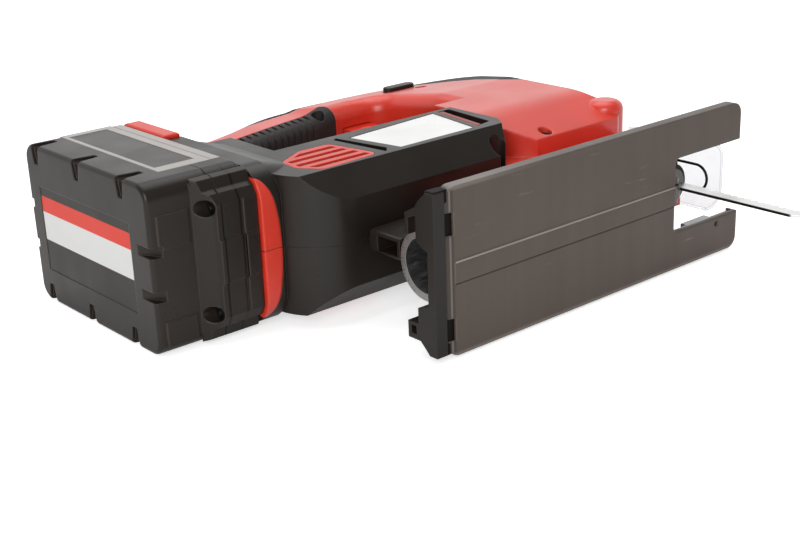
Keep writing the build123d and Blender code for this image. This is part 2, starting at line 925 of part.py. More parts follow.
# Housing screws: a round head over a shank into the left half
with BuildPart() as housing_screws:
    for x, y, seat in shell_screws + [grip_screw, cover_screw]:
        rod(side(seat), (x, y), screw_head, screw_head_height)
        rod(side(1 - screw_reach), (x, y), screw_radius, seat + screw_reach - 1)
        with BuildSketch(side(seat + screw_head_height / 2)) as drive:
            with Locations((x, y)):
                RegularPolygon(screw_head / 2, 6)
        extrude(drive.sketch, amount=screw_head_height, mode=Mode.SUBTRACT)
save(housing_screws, "housing_screws")

# Trigger with a hollow finger face and a lip that keeps it in its way
finger_low = underside_high - trigger_drop
with BuildPart() as trigger:
    with BuildSketch(side()) as finger:
        with BuildLine():
            heel = (trigger_rear, finger_low + 3)
            toe = (trigger_front, finger_low)
            ThreePointArc(heel, ((trigger_rear + trigger_front) / 2, finger_low + 5), toe)
            Polyline(toe, (trigger_front, trigger_seat + 1), (trigger_rear, trigger_seat + 1), heel)
        make_face()
    extrude(finger.sketch, amount=trigger_half, both=True)
    fillet(edges().filter_by(GeomType.CIRCLE), trigger_round)
    box(side(), (trigger_rear - trigger_lip, trigger_seat),
        (trigger_front + trigger_lip, trigger_seat + trigger_lip),
        trigger_half + trigger_lip - slide_gap, both=True)
save(trigger, "trigger")

# Switch in front of the trigger, with an arm over it
with BuildPart() as switch_body:
    box(side(), (switch_rear + seat_gap, switch_low + seat_gap),
        (switch_front - seat_gap, switch_high - seat_gap),
        switch_half - seat_gap, both=True)
    box(side(), (switch_rear - switch_arm + seat_gap, lip_stop + seat_gap),
        (switch_rear + 1, switch_high - seat_gap),
        switch_arm_half - seat_gap, both=True)
save(switch_body, "switch_body")

# Cross-push lock button through the knob
with BuildPart() as lock_button:
    with BuildSketch(side(joint_line - knob_half)) as lock:
        with Locations((lock_x, lock_y)):
            SlotOverall(lock_length, lock_height)
    extrude(lock.sketch, amount=2 * knob_half - joint_line + lock_proud)
    fillet(faces().filter_by(Axis.Z).edges(), lock_round)
save(lock_button, "lock_button")

# Motor can and its two magnets
with BuildPart() as motor_can:
    rod(cross(can_rear), (motor_y, 0), can_radius, can_front - can_rear)
    rod(cross(can_rear), (motor_y, 0), can_radius - can_wall, can_front - can_rear, mode=Mode.SUBTRACT)
save(motor_can, "motor_can")

with BuildPart() as magnets:
    rod(cross(core_rear), (motor_y, 0), can_radius - can_wall - run_gap, core_front - core_rear)
    rod(cross(core_rear), (motor_y, 0), core_radius + core_gap, core_front - core_rear, mode=Mode.SUBTRACT)
    box(cross(core_rear), (motor_y - can_radius, -magnet_gap), (motor_y + can_radius, magnet_gap),
        core_front - core_rear, mode=Mode.SUBTRACT)
save(magnets, "magnets")

# Armature: slotted core and end windings on the motor shaft
with BuildPart() as armature:
    with BuildSketch(cross(core_rear)) as core:
        with Locations((motor_y, 0)):
            Circle(core_radius)
            with PolarLocations(core_radius, core_slots):
                Rectangle(core_slot_depth, core_slot_width, mode=Mode.SUBTRACT)
    extrude(core.sketch, amount=core_front - core_rear)
    rod(cross(core_rear - winding_length), (motor_y, 0), winding_radius,
        core_front - core_rear + 2 * winding_length)
    rod(cross(brush_rear + 2), (motor_y, 0), shaft_radius, pinion_rear - brush_rear - 2)
    rod(cross(brush_rear + 2), (motor_y, 0), spigot_radius, pinion_front - brush_rear - 2)
save(armature, "armature")

with BuildPart() as commutator:
    rod(cross(commutator_rear), (motor_y, 0), commutator_radius, commutator_length)
    rod(cross(commutator_rear), (motor_y, 0), shaft_radius + run_gap, commutator_length, mode=Mode.SUBTRACT)
save(commutator, "commutator")

# Fan: a disc with radial blades
with BuildPart() as fan:
    rod(cross(fan_rear), (motor_y, 0), fan_radius, fan_disc)
    with BuildSketch(cross(fan_rear)) as blades:
        with Locations((motor_y, 0)):
            Circle(2 * shaft_radius)
            with PolarLocations((fan_radius + 2 * shaft_radius) / 2, fan_blades):
                Rectangle(fan_radius - 2 * shaft_radius - 1, fan_disc)
    extrude(blades.sketch, amount=fan_width)
    rod(cross(fan_rear), (motor_y, 0), shaft_radius + run_gap, fan_width, mode=Mode.SUBTRACT)
save(fan, "fan")

# Ball bearings on the motor shaft, drawn as closed rings
for name, bearing_rear in (("rear_bearing", brush_rear), ("front_bearing", case_rear)):
    with BuildPart() as bearing:
        rod(cross(bearing_rear), (motor_y, 0), bearing_radius, bearing_width)
        rod(cross(bearing_rear), (motor_y, 0), shaft_radius + run_gap, bearing_width, mode=Mode.SUBTRACT)
    save(bearing, name)

# Brush holder: a cup for the rear bearing with two brush boxes
box_rear = commutator_rear + 0.5
box_front = commutator_rear + commutator_length - 0.5
with BuildPart() as brush_holder:
    rod(cross(brush_rear - 2), (motor_y, 0), can_radius, can_rear - joint_line - brush_rear + 2)
    rod(cross(brush_rear + bearing_width), (motor_y, 0), can_radius - 2, can_rear, mode=Mode.SUBTRACT)
    rod(cross(brush_rear), (motor_y, 0), bearing_radius + run_gap, bearing_width, mode=Mode.SUBTRACT)
    rod(cross(brush_rear - 3), (motor_y, 0), shaft_radius + 2, bearing_width, mode=Mode.SUBTRACT)
    for up in (-1, 1):
        near = motor_y + up * (commutator_radius + 1.5)
        far = motor_y + up * (can_radius - 1)
        box(side(), (box_rear, near), (box_front, far), brush_half + box_wall, both=True)
        box(side(), (box_rear + box_wall, near - up * box_wall), (box_front - box_wall, far - up * box_wall),
            brush_half + run_gap, both=True, mode=Mode.SUBTRACT)
save(brush_holder, "brush_holder")

with BuildPart() as brushes:
    for up in (-1, 1):
        near = motor_y + up * (commutator_radius + seat_gap)
        far = motor_y + up * (commutator_radius + brush_length)
        box(side(), (box_rear + box_wall + run_gap, near), (box_front - box_wall - run_gap, far),
            brush_half, both=True)
save(brushes, "brushes")

# Pinion on the motor shaft
with BuildPart() as pinion:
    prism(cross(pinion_rear), tooth_outline(motor_y, pinion_teeth, pinion_tip, pinion_root, 0.0),
          pinion_front - pinion_rear)
    rod(cross(pinion_rear), (motor_y, 0), spigot_radius + run_gap, pinion_front - pinion_rear,
        mode=Mode.SUBTRACT)
save(pinion, "pinion")

# Driven gear with its crank pin, on an axle fixed in the gear case
with BuildPart() as driven_gear:
    half_tooth = math.pi / gear_teeth
    prism(cross(gear_rear), tooth_outline(gear_y, gear_teeth, gear_tip, gear_root, half_tooth), gear_width)
    rod(cross(gear_rear), (gear_y, 0), axle_radius + run_gap, gear_width, mode=Mode.SUBTRACT)
    rod(cross(gear_front - 1), (crank_y, 0), crank_pin_radius, crank_pin_length + 1)
save(driven_gear, "driven_gear")

with BuildPart() as gear_axle:
    rod(cross(case_rear), (gear_y, 0), axle_radius, gear_front + axle_head - case_rear)
    rod(cross(gear_front + seat_gap), (gear_y, 0), axle_radius + 2, axle_head - seat_gap)
save(gear_axle, "gear_axle")

# Gear case: a plate across the gear room and an arm under it to the plunger
with BuildPart() as gear_case:
    prism(cross(case_rear), room_section(seat_gap), case_plate)
    prism(side(arm_half - seat_gap), valley(shell_wall + seat_gap), head_half, mode=Mode.SUBTRACT)
    mirror(about=side())
    box(side(), (case_rear, cover_high - shell_wall - seat_gap), (case_rear + case_plate, room_high),
        head_half, both=True, mode=Mode.SUBTRACT)
    box(side(), (case_rear, arm_low), (case_rear + case_plate, room_low + 5), arm_half, both=True)
    box(side(), (case_rear, arm_low), (arm_front, arm_high), arm_half, both=True)
    fillet(edges().filter_by(Axis.Y).sort_by(Axis.X)[-2:], case_round)
    rod(cross(case_rear), (motor_y, 0), bearing_radius + run_gap, bearing_width, mode=Mode.SUBTRACT)
    rod(cross(case_rear), (motor_y, 0), shaft_radius + 2, case_plate, mode=Mode.SUBTRACT)
    rod(cross(case_rear), (gear_y, 0), axle_radius + run_gap, case_plate, mode=Mode.SUBTRACT)
    rod(plan(arm_low), (0, plunger_x), bush_radius + run_gap, arm_high - arm_low, mode=Mode.SUBTRACT)
save(gear_case, "gear_case")

# Upper guide of the plunger, fitted across the gear room
with BuildPart() as upper_guide:
    prism(cross(guide_rear), room_section(seat_gap), room_front - seat_gap - guide_rear)
    mirror(about=side())
    box(side(), (guide_rear, guide_low), (room_front, guide_high), head_half, both=True, mode=Mode.INTERSECT)
    rod(plan(guide_low), (0, plunger_x), bush_radius + run_gap, guide_high - guide_low, mode=Mode.SUBTRACT)
save(upper_guide, "upper_guide")

# Plain bushes that the plunger runs in
for name, low, high in (("lower_bush", arm_low, arm_high), ("upper_bush", guide_low, guide_high)):
    with BuildPart() as bush:
        rod(plan(low), (0, plunger_x), bush_radius, high - low)
        rod(plan(low), (0, plunger_x), plunger_radius + run_gap, high - low, mode=Mode.SUBTRACT)
    save(bush, name)

# Plunger with the slotted yoke that the crank drives
yoke_front = yoke_rear + yoke_depth
with BuildPart() as plunger:
    rod(plan(clamp_high), (0, plunger_x), plunger_radius, plunger_top - clamp_high)
    box(side(), (yoke_front - 1, crank_y - yoke_web), (plunger_x + plunger_radius, crank_y + yoke_web),
        plunger_radius + 2, both=True)
    box(side(), (yoke_rear, crank_y - yoke_height / 2), (yoke_front, crank_y + yoke_height / 2),
        yoke_half, both=True)
    with BuildSketch(cross(yoke_rear)) as yoke_slot:
        with Locations((crank_y, 0)):
            slot_length = 2 * (crank_radius + roller_radius + slide_gap)
            SlotOverall(slot_length, 2 * (roller_radius + seat_gap), rotation=90)
    extrude(yoke_slot.sketch, amount=yoke_depth, mode=Mode.SUBTRACT)
save(plunger, "plunger")

with BuildPart() as yoke_roller:
    rod(cross(yoke_rear + seat_gap), (crank_y, 0), roller_radius, yoke_depth - 2 * seat_gap)
save(yoke_roller, "yoke_roller")

# Blade clamp on the foot of the plunger, and the collar that opens it
blade_half = blade_thickness / 2
with BuildPart() as blade_clamp:
    rod(plan(clamp_low), (0, plunger_x), clamp_radius, clamp_high - clamp_low)
    box(plan(clamp_low), (-blade_half - seat_gap, blade_back - seat_gap),
        (blade_half + seat_gap, blade_back + blade_width + seat_gap), blade_tang, mode=Mode.SUBTRACT)
save(blade_clamp, "blade_clamp")

with BuildPart() as clamp_collar:
    with BuildSketch(plan(clamp_low + collar_inset)) as collar:
        with Locations((0, plunger_x)):
            Circle(collar_radius)
        with Locations((collar_tab / 2, plunger_x)):
            RectangleRounded(collar_tab, collar_tab_width, collar_round)
        with Locations((0, plunger_x)):
            Circle(clamp_radius + run_gap, mode=Mode.SUBTRACT)
    extrude(collar.sketch, amount=clamp_high - clamp_low - 2 * collar_inset)
save(clamp_collar, "clamp_collar")

# Blade: toothed front edge, slanted tip
blade_top = clamp_low + blade_tang - seat_gap
blade_edge = blade_back + blade_width
with BuildPart() as blade:
    outline = [
        (blade_back, blade_top),
        (blade_back, blade_tip_slope - blade_reach),
        (blade_back + 3, -blade_reach),
        (blade_edge - tooth_depth, -blade_reach),
    ]
    for tooth in range(int((blade_reach - tooth_start) / tooth_pitch)):
        tooth_low = tooth * tooth_pitch - blade_reach
        outline.append((blade_edge, tooth_low + 0.8))
        outline.append((blade_edge - tooth_depth, tooth_low + tooth_pitch))
    outline.append((blade_edge, tooth_low + tooth_pitch + tooth_depth))
    outline.append((blade_edge, blade_top))
    prism(side(), outline, blade_half, both=True)
save(blade, "blade")

# Guide roller behind the blade, on its pin in the pendulum fork
with BuildPart() as guide_roller:
    rod(side(), (roller_x, guide_y), guide_radius, guide_width / 2, both=True)
    rod(side(), (roller_x, guide_y), guide_pin + run_gap, guide_width, both=True, mode=Mode.SUBTRACT)
save(guide_roller, "guide_roller")

with BuildPart() as roller_pin:
    rod(side(), (roller_x, guide_y), guide_pin, fork_inner + fork_plate + seat_gap, both=True)
save(roller_pin, "roller_pin")

# Pendulum fork: two bent arms from a hub on the fork pin down to the guide roller
elbow = (roller_x - fork_foot, guide_y + 3)
with BuildPart() as roller_fork:
    knots = [(fork_x, fork_y, fork_hub), (*elbow, fork_arm), (roller_x, guide_y, fork_arm)]
    for ends in (knots[:2], knots[1:]):
        with BuildSketch(side(fork_inner)) as arm:
            for x, y, radius in ends:
                with Locations((x, y)):
                    Circle(radius)
            make_hull()
        extrude(arm.sketch, amount=fork_plate)
    mirror(about=side())
    rod(side(), (fork_x, fork_y), fork_hub, fork_inner + fork_plate, both=True)
    rod(side(), (fork_x, fork_y), fork_pin_radius + run_gap, bay_half, both=True, mode=Mode.SUBTRACT)
    rod(side(), (roller_x, guide_y), guide_pin + run_gap, bay_half, both=True, mode=Mode.SUBTRACT)
save(roller_fork, "roller_fork")

with BuildPart() as fork_pin:
    rod(side(), (fork_x, fork_y), fork_pin_radius, bay_half + fork_pin_seat - seat_gap, both=True)
save(fork_pin, "fork_pin")

# Pendulum lever on the left side
with BuildPart() as pendulum_lever:
    with BuildSketch(side(-skirt_half - seat_gap)) as lever_face:
        with Locations((selector_x, selector_y)):
            Circle(selector_radius)
        with Locations((selector_x - selector_reach, selector_y)):
            Circle(selector_radius / 2)
        make_hull()
    extrude(lever_face.sketch, amount=-selector_thickness)
    fillet(faces().sort_by(Axis.Z)[0].edges(), selector_round)
    rod(side(-skirt_half - seat_gap), (selector_x, selector_y), selector_spindle, selector_seat)
save(pendulum_lever, "pendulum_lever")

# Sole cover with a raised lip, fork slot, raised centre runner and rear notches
sole_half = sole_width / 2
fork_rear = plunger_x - fork_behind
with BuildPart() as sole_cover:
    with BuildSketch(plan()) as sole:
        with Locations((0, sole_length / 2)):
            RectangleRounded(sole_width, sole_length, sole_corner)
    extrude(sole.sketch, amount=lip_height)
    box(plan(sole_thickness), (lip_width - sole_half, lip_width),
        (sole_half - lip_width, sole_length - lip_width), lip_height, mode=Mode.SUBTRACT)
    box(plan(), (-runner_width / 2, 0), (runner_width / 2, fork_rear + 1), -runner_height)
    with BuildSketch(plan(-runner_height)) as fork_gap:
        with Locations((0, fork_rear + sole_length / 2)):
            RectangleRounded(fork_width, sole_length, fork_round)
    extrude(fork_gap.sketch, amount=lip_height + runner_height, mode=Mode.SUBTRACT)
    for notch_z in (notch_right, notch_left):
        box(plan(), (notch_z - notch_width / 2, -1), (notch_z + notch_width / 2, notch_depth), lip_height,
            mode=Mode.SUBTRACT)
    rod(plan(), (hole_z, hole_x), hole_radius, sole_thickness, mode=Mode.SUBTRACT)
    # rear edge, sloped as far as the notches reach
    prism(side(-sole_half), [
        (-1, -1),
        (notch_depth, -1),
        (notch_depth, 0),
        (0, rear_slope),
        (-1, rear_slope),
    ], sole_width, mode=Mode.SUBTRACT)
save(sole_cover, "sole_cover")

# Base plate with the half-round bevel saddle
inner_half = sole_half - lip_width - seat_gap
inner_front = sole_length - lip_width - seat_gap
prong = fork_width / 2 + 1
saddle_bore = saddle_radius - saddle_wall
# the side walls draw in so that they pass under the skirt at full tilt
mouth = math.asin((skirt_low - bevel_y) / saddle_radius)
foot_half = saddle_radius * math.cos(math.radians(bevel_angle) - mouth) - seat_gap
# the slot lets the bolt pass at full tilt
bolt_swing = math.radians(bevel_angle) + math.asin((bolt_radius + 2 * seat_gap) / saddle_bore)
with BuildPart() as shoe_base:
    box(plan(sole_thickness), (-inner_half, notch_depth + 1), (inner_half, inner_front), plate_thickness)
    box(plan(sole_thickness), (-prong, fork_rear - fork_step), (prong, sole_length), plate_thickness,
        mode=Mode.SUBTRACT)
    with BuildSketch(cross(saddle_rear)) as saddle:
        with Locations((bevel_y, 0)):
            Circle(saddle_radius)
        with Locations(((bevel_y + sole_thickness) / 2, 0)):
            Rectangle(bevel_y - sole_thickness, 2 * foot_half)
        with Locations((bevel_y, 0)):
            Circle(saddle_bore, mode=Mode.SUBTRACT)
        with Locations(((bevel_y + sole_thickness) / 2, 0)):
            Rectangle(bevel_y - sole_thickness, 2 * (foot_half - saddle_wall), mode=Mode.SUBTRACT)
    extrude(saddle.sketch, amount=saddle_front - saddle_rear)
    box(cross(saddle_rear), (-saddle_radius, -sole_half), (sole_thickness, sole_half), saddle_front,
        mode=Mode.SUBTRACT)
    rise = saddle_radius + 1
    swing = rise * math.tan(bolt_swing)
    prism(cross(bolt_x - bolt_slot / 2), [(bevel_y, 0), (bevel_y + rise, swing), (bevel_y + rise, -swing)],
          bolt_slot, mode=Mode.SUBTRACT)
    # guide block on the inner edge of one prong
    box(plan(sole_thickness), (-prong - insert_width, insert_rear), (-prong, insert_front), insert_height)
save(shoe_base, "shoe_base")

# Rear clip piece: a plate with two ears beside the saddle, a hook on each ear and two tongues in the notches
shoulder = clip_half - clip_shoulder
with BuildPart() as shoe_clip:
    prism(cross(-clip_rear), [
        (clip_low, -clip_half),
        (clip_low, clip_half),
        (clip_high, clip_half),
        (clip_ear, shoulder),
        (clip_ear, saddle_radius - 2.5),
        (clip_high, saddle_radius - 5.5),
        (clip_high, 2.5 - saddle_radius),
        (clip_ear, -saddle_radius),
        (clip_ear, -shoulder),
        (clip_high, -clip_half),
    ], clip_rear - seat_gap, soft=[(clip_ear, shoulder), (clip_ear, -shoulder)], radius=clip_round)
    prism(cross(-clip_rear), [
        (clip_ear - 4, shoulder - 3),
        (hook_high - hook_wall, shoulder - 7),
        (hook_high - hook_wall, saddle_radius),
        (hook_high, saddle_radius),
        (hook_high, shoulder - 5),
        (clip_ear - 3, shoulder + 0.5),
    ], clip_rear - seat_gap)
    box(cross(-clip_rear), (clip_ear - 2, -shoulder - 1), (hook_high, 7 - shoulder), clip_rear - seat_gap)
    box(cross(-clip_rear), (clip_ear + 1.5, 1.5 - shoulder), (hook_high - hook_wall, 5.5 - shoulder),
        clip_rear - seat_gap, mode=Mode.SUBTRACT)
    for notch_z in (notch_right, notch_left):
        tongue = notch_width / 2 - seat_gap
        box(cross(-1), (lip_height / 2, notch_z - tongue), (lip_height - clip_low, notch_z + tongue),
            notch_depth + 1 - seat_gap)
save(shoe_clip, "shoe_clip")

# Bevel clamp lever with a hollow end, and its bolt
with BuildPart() as bevel_lever:
    with BuildSketch(plan(lever_low)) as lever:
        with Locations((0, bolt_x)):
            Circle(lever_hub)
        with Locations((lever_end_z, lever_rear + lever_end_length / 2)):
            RectangleRounded(lever_end_width, lever_end_length, lever_round)
        make_hull()
    extrude(lever.sketch, amount=lever_high - lever_low)
    with BuildSketch(plan(lever_end_low)) as lever_end:
        with Locations((lever_end_z, lever_rear + lever_end_length / 2)):
            RectangleRounded(lever_end_width, lever_end_length, lever_round)
    extrude(lever_end.sketch, amount=lever_low + 1 - lever_end_low)
    hollow_half = lever_end_width / 2 - lever_wall
    box(cross(lever_rear - 1), (lever_end_low + lever_wall, lever_end_z - hollow_half),
        (lever_hollow_high, lever_end_z + hollow_half), lever_hollow + 1, mode=Mode.SUBTRACT)
    rod(plan(lever_low), (0, bolt_x), bolt_radius + run_gap, lever_high, mode=Mode.SUBTRACT)
save(bevel_lever, "bevel_lever")

bolt_low = bevel_y + math.sqrt((saddle_bore - seat_gap) ** 2 - bolt_plate_half ** 2) - bolt_plate
with BuildPart() as bevel_bolt:
    rod(plan(bolt_low), (0, bolt_x), bolt_radius, lever_high + 1 - bolt_low)
    box(plan(bolt_low), (-bolt_plate_half, bolt_x - bolt_plate_reach),
        (bolt_plate_half, bolt_x + bolt_plate_reach), bolt_plate)
save(bevel_bolt, "bevel_bolt")

# Clear dust shield on the front of the skirt
with BuildPart() as dust_shield:
    shield_rear = skirt_front + seat_gap
    with BuildSketch(plan(shield_low)) as shield:
        with Locations((0, shield_front - shield_half)):
            RectangleRounded(2 * shield_half, 2 * shield_half, shield_corner)
            RectangleRounded(2 * (shield_half - shield_wall), 2 * (shield_half - shield_wall),
                             shield_corner - shield_wall, mode=Mode.SUBTRACT)
        with Locations((0, shield_rear - sole_length / 2)):
            Rectangle(3 * shield_half, sole_length, mode=Mode.SUBTRACT)
    extrude(shield.sketch, amount=shield_high - shield_low)
save(dust_shield, "dust_shield")

# Wire guard in front of the blade, one bent wire
with BuildPart() as wire_guard:
    with BuildLine(cross(wire_x)) as bend:
        wire_top = arm_low - joint_line
        turn_y = wire_low + wire_half
        Line((wire_top, -wire_half), (turn_y, -wire_half))
        ThreePointArc((turn_y, -wire_half), (wire_low, 0), (turn_y, wire_half))
        Line((turn_y, wire_half), (wire_top, wire_half))
    with BuildSketch(Plane(bend.line @ 0, z_dir=bend.line % 0)):
        Circle(wire_radius)
    sweep()
save(wire_guard, "wire_guard")

# Contacts of the tool, hanging in the rail channel
with BuildPart() as tool_terminals:
    box(side(), (rail_floor + slide_gap, terminal_low), (rail_high + slide_gap, terminal_high),
        terminal_half, both=True)
    for slit in (-1, 0, 1):
        box(side(slit * terminal_pitch), (rail_floor, terminal_high - 12), (rail_high - 1, terminal_high + 1),
            terminal_slit, both=True, mode=Mode.SUBTRACT)
save(tool_terminals, "tool_terminals")

# Battery pack: a tub and a top with the rail, joined on one plane
pack_half = pack_width / 2
pack_high = pack_low + pack_length
pack_middle = (pack_low + pack_high) / 2
room_middle = (pack_low + end_wall + pack_high - pack_wall) / 2
room_length = pack_length - end_wall - pack_wall


def pack_room(rear, front):
    """Hollow of the pack between two depths."""
    with BuildSketch(cross(rear)) as hollow:
        with Locations((room_middle, 0)):
            RectangleRounded(room_length, pack_width - 2 * pack_wall, pack_corner - pack_wall)
    extrude(hollow.sketch, amount=front - rear, mode=Mode.SUBTRACT)


def pack_block(rear, front):
    """Rounded block of the pack's outline between two depths."""
    with BuildSketch(cross(rear)) as outline:
        with Locations((pack_middle, 0)):
            RectangleRounded(pack_length, pack_width, pack_corner)
    extrude(outline.sketch, amount=front - rear)


def side_plate_recess():
    """Shallow recess of the plate on the right side of the pack."""
    box(side(pack_half - plate_recess), (plate_rear, plate_low), (plate_front, plate_high), plate_recess + 1,
        mode=Mode.SUBTRACT)


# Block on the lower end of the pack: stepped across, with a slanted rear side
block_steps = [
    (pack_low + 1, block_half + 7),
    (block_neck + 1.5, block_half + 6),
    (block_neck, block_half + 1),
    (block_neck - 2.5, block_half - 0.5),
    (block_low + 1, block_half - 5),
    (block_low + 1, panel_half + 1),
    (block_low, panel_half),
]
with BuildPart() as end_block:
    prism(cross(block_rear), block_steps + [(y, -z) for y, z in reversed(block_steps)], deck_x - block_rear)
    prism(side(-pack_half), [
        (block_rear, pack_low + 1),
        (block_rear, pack_low),
        (block_step, pack_low - 7),
        (block_step + 2, block_low - 1),
        (deck_x - 2, block_low - 1),
        (deck_x, block_low + 1),
        (deck_x, pack_low + 1),
    ], pack_width, mode=Mode.INTERSECT)

with BuildPart() as pack_tub:
    pack_block(pack_rear, split_x - joint_line)
    fillet(faces().sort_by(Axis.X)[0].edges(), pack_edge)
    # raised bands and block on the lower end
    for low, high in rib_bands:
        box(side(low), (rib_rear, pack_low - rib_proud), (rib_front, pack_low + 1), high - low)
    add(end_block.part)
    box(cross(split_x - joint_line), (block_low - 1, -pack_half), (pack_high, pack_half), pack_depth,
        mode=Mode.SUBTRACT)
    pack_room(pack_rear + pack_wall, split_x)
    # two screw seats in the slanted side of the block
    for screw_z in (-end_screw_z, end_screw_z):
        rod(cross(block_rear - 1), (end_screw_y, screw_z), end_screw_radius + slide_gap,
            end_screw_seat - block_rear + 1, mode=Mode.SUBTRACT)
        rod(cross(end_screw_seat), (end_screw_y, screw_z), screw_radius + slide_gap, end_screw_length,
            mode=Mode.SUBTRACT)
    # wedge notches over both long edges of the rear face
    for way in (-1, 1):
        for spot in wedge_spots:
            prism(cross(pack_rear - 1), [
                (spot - wedge_half, way * (pack_half + 1)),
                (spot + wedge_half, way * (pack_half + 1)),
                (spot + wedge_tip, way * (pack_half - wedge_across)),
                (spot - wedge_tip, way * (pack_half - wedge_across)),
            ], wedge_depth + 1, mode=Mode.SUBTRACT)
            prism(side(way * (pack_half - wedge_depth)), [
                (pack_rear - 1, spot - wedge_half),
                (pack_rear - 1, spot + wedge_half),
                (pack_rear + wedge_along, spot + wedge_tip),
                (pack_rear + wedge_along, spot - wedge_tip),
            ], way * (wedge_depth + 1), mode=Mode.SUBTRACT)
    # notches over both short edges of the rear face
    for spot in corner_spots:
        for end, reach in ((pack_low, near_reach), (pack_high, -far_reach)):
            prism(side(spot - corner_width / 2), [
                (pack_rear - corner_reach, end - reach),
                (pack_rear + 2 * corner_reach, end - reach),
                (pack_rear - corner_reach, end + 2 * reach),
            ], corner_width, mode=Mode.SUBTRACT)
    side_plate_recess()
    box(cross(pack_rear - 1), (rating_low, rating_left), (rating_high, rating_right), plate_recess + 1,
        mode=Mode.SUBTRACT)
save(pack_tub, "pack_tub")

with BuildPart() as pack_top:
    pack_block(split_x, deck_x)
    fillet(faces().sort_by(Axis.X)[-1].edges(), pack_edge)
    add(end_block.part)
    box(cross(split_x), (block_low - 1, -pack_half), (pack_high, pack_half), -pack_depth, mode=Mode.SUBTRACT)
    pack_room(split_x, deck_x - pack_wall)
    for screw_z in (-end_screw_z, end_screw_z):
        rod(cross(split_x), (end_screw_y, screw_z), screw_radius + run_gap, end_screw_length,
            mode=Mode.SUBTRACT)
    box(side(), (deck_x - 1, rail_rear), (rail_high, rail_front), neck_half, both=True)
    box(side(), (band_rear + rail_lip + seat_gap, rail_rear), (rail_high, rail_front), rail_half, both=True)
    # channel for the contacts of the tool
    box(side(), (rail_floor, rail_rear - 1), (rail_high + 1, terminal_stop), terminal_half + 1, both=True,
        mode=Mode.SUBTRACT)
    # slots for the stems of the latches
    for way in (-1, 1):
        box(cross(stem_rear - slide_gap), (stem_low - slide_gap, way * latch_floor),
            (stem_high + slide_gap, way * (latch_inner + stem_width + slide_gap)),
            deck_x - stem_rear + 1, mode=Mode.SUBTRACT)
    # seam line across the block
    seam = (seam_x - seam_width / 2, block_low - 1)
    box(side(), seam, (seam_x + seam_width / 2, block_low + 1 + seam_depth), block_half - 5, both=True,
        mode=Mode.SUBTRACT)
    side_plate_recess()
save(pack_top, "pack_top")

# Plates let into the pack
with BuildPart() as pack_plate:
    box(side(pack_half - plate_recess), (plate_rear + joint_line, plate_low + joint_line),
        (plate_front - joint_line, plate_high - joint_line), plate_sheet)
save(pack_plate, "pack_plate")

with BuildPart() as rating_plate:
    box(cross(pack_rear + plate_recess - plate_sheet), (rating_low + joint_line, rating_left + joint_line),
        (rating_high - joint_line, rating_right - joint_line), plate_sheet)
save(rating_plate, "rating_plate")

# Screws that join the tub to the top
with BuildPart() as pack_screws:
    for screw_z in (-end_screw_z, end_screw_z):
        rod(cross(end_screw_seat), (end_screw_y, screw_z), end_screw_radius, -screw_head_height / 2)
        rod(cross(end_screw_seat), (end_screw_y, screw_z), screw_radius, end_screw_length - 1)
        with BuildSketch(cross(end_screw_seat - screw_head_height / 4)) as drive:
            with Locations((end_screw_y, screw_z)):
                RegularPolygon(end_screw_radius / 2, 6)
        extrude(drive.sketch, amount=-screw_head_height, mode=Mode.SUBTRACT)
save(pack_screws, "pack_screws")

# Cells in two layers on the floor of the tub
with BuildPart() as cells:
    for layer in range(2):
        for place in range(cells_along):
            cell_x = pack_rear + pack_wall + seat_gap + cell_radius + layer * cell_pitch
            cell_y = room_middle + (place - (cells_along - 1) / 2) * cell_pitch
            rod(side(), (cell_x, cell_y), cell_radius, cell_length / 2, both=True)
save(cells, "cells")

# Contact blades at the end of the channel
with BuildPart() as pack_terminals:
    for slit in (-1, 0, 1):
        box(side(slit * terminal_pitch), (rail_floor, terminal_high + 1), (rail_high - 1.5, terminal_stop),
            terminal_slit - slide_gap, both=True)
save(pack_terminals, "pack_terminals")

# Latch buttons: a button in the notch of the foot band over a stem in the pack
with BuildPart() as right_latch:
    box(side(latch_inner), (band_rear + seat_gap, latch_low), (band_front - joint_line, latch_high),
        band_half + latch_proud - latch_inner)
    fillet(faces().sort_by(Axis.Z)[-1].edges(), latch_round)
    box(side(latch_inner), (stem_rear, stem_low), (band_rear + 1, stem_high), stem_width)
save(right_latch, "right_latch")

with BuildPart() as left_latch:
    mirror(right_latch.part, about=side())
save(left_latch, "left_latch")
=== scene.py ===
import math

import bmesh
import bpy
from bpy.props import FloatProperty, FloatVectorProperty, IntProperty, PointerProperty
from bpy.types import NodeSocket, Operator, Panel, PropertyGroup
from mathutils import Matrix, Vector


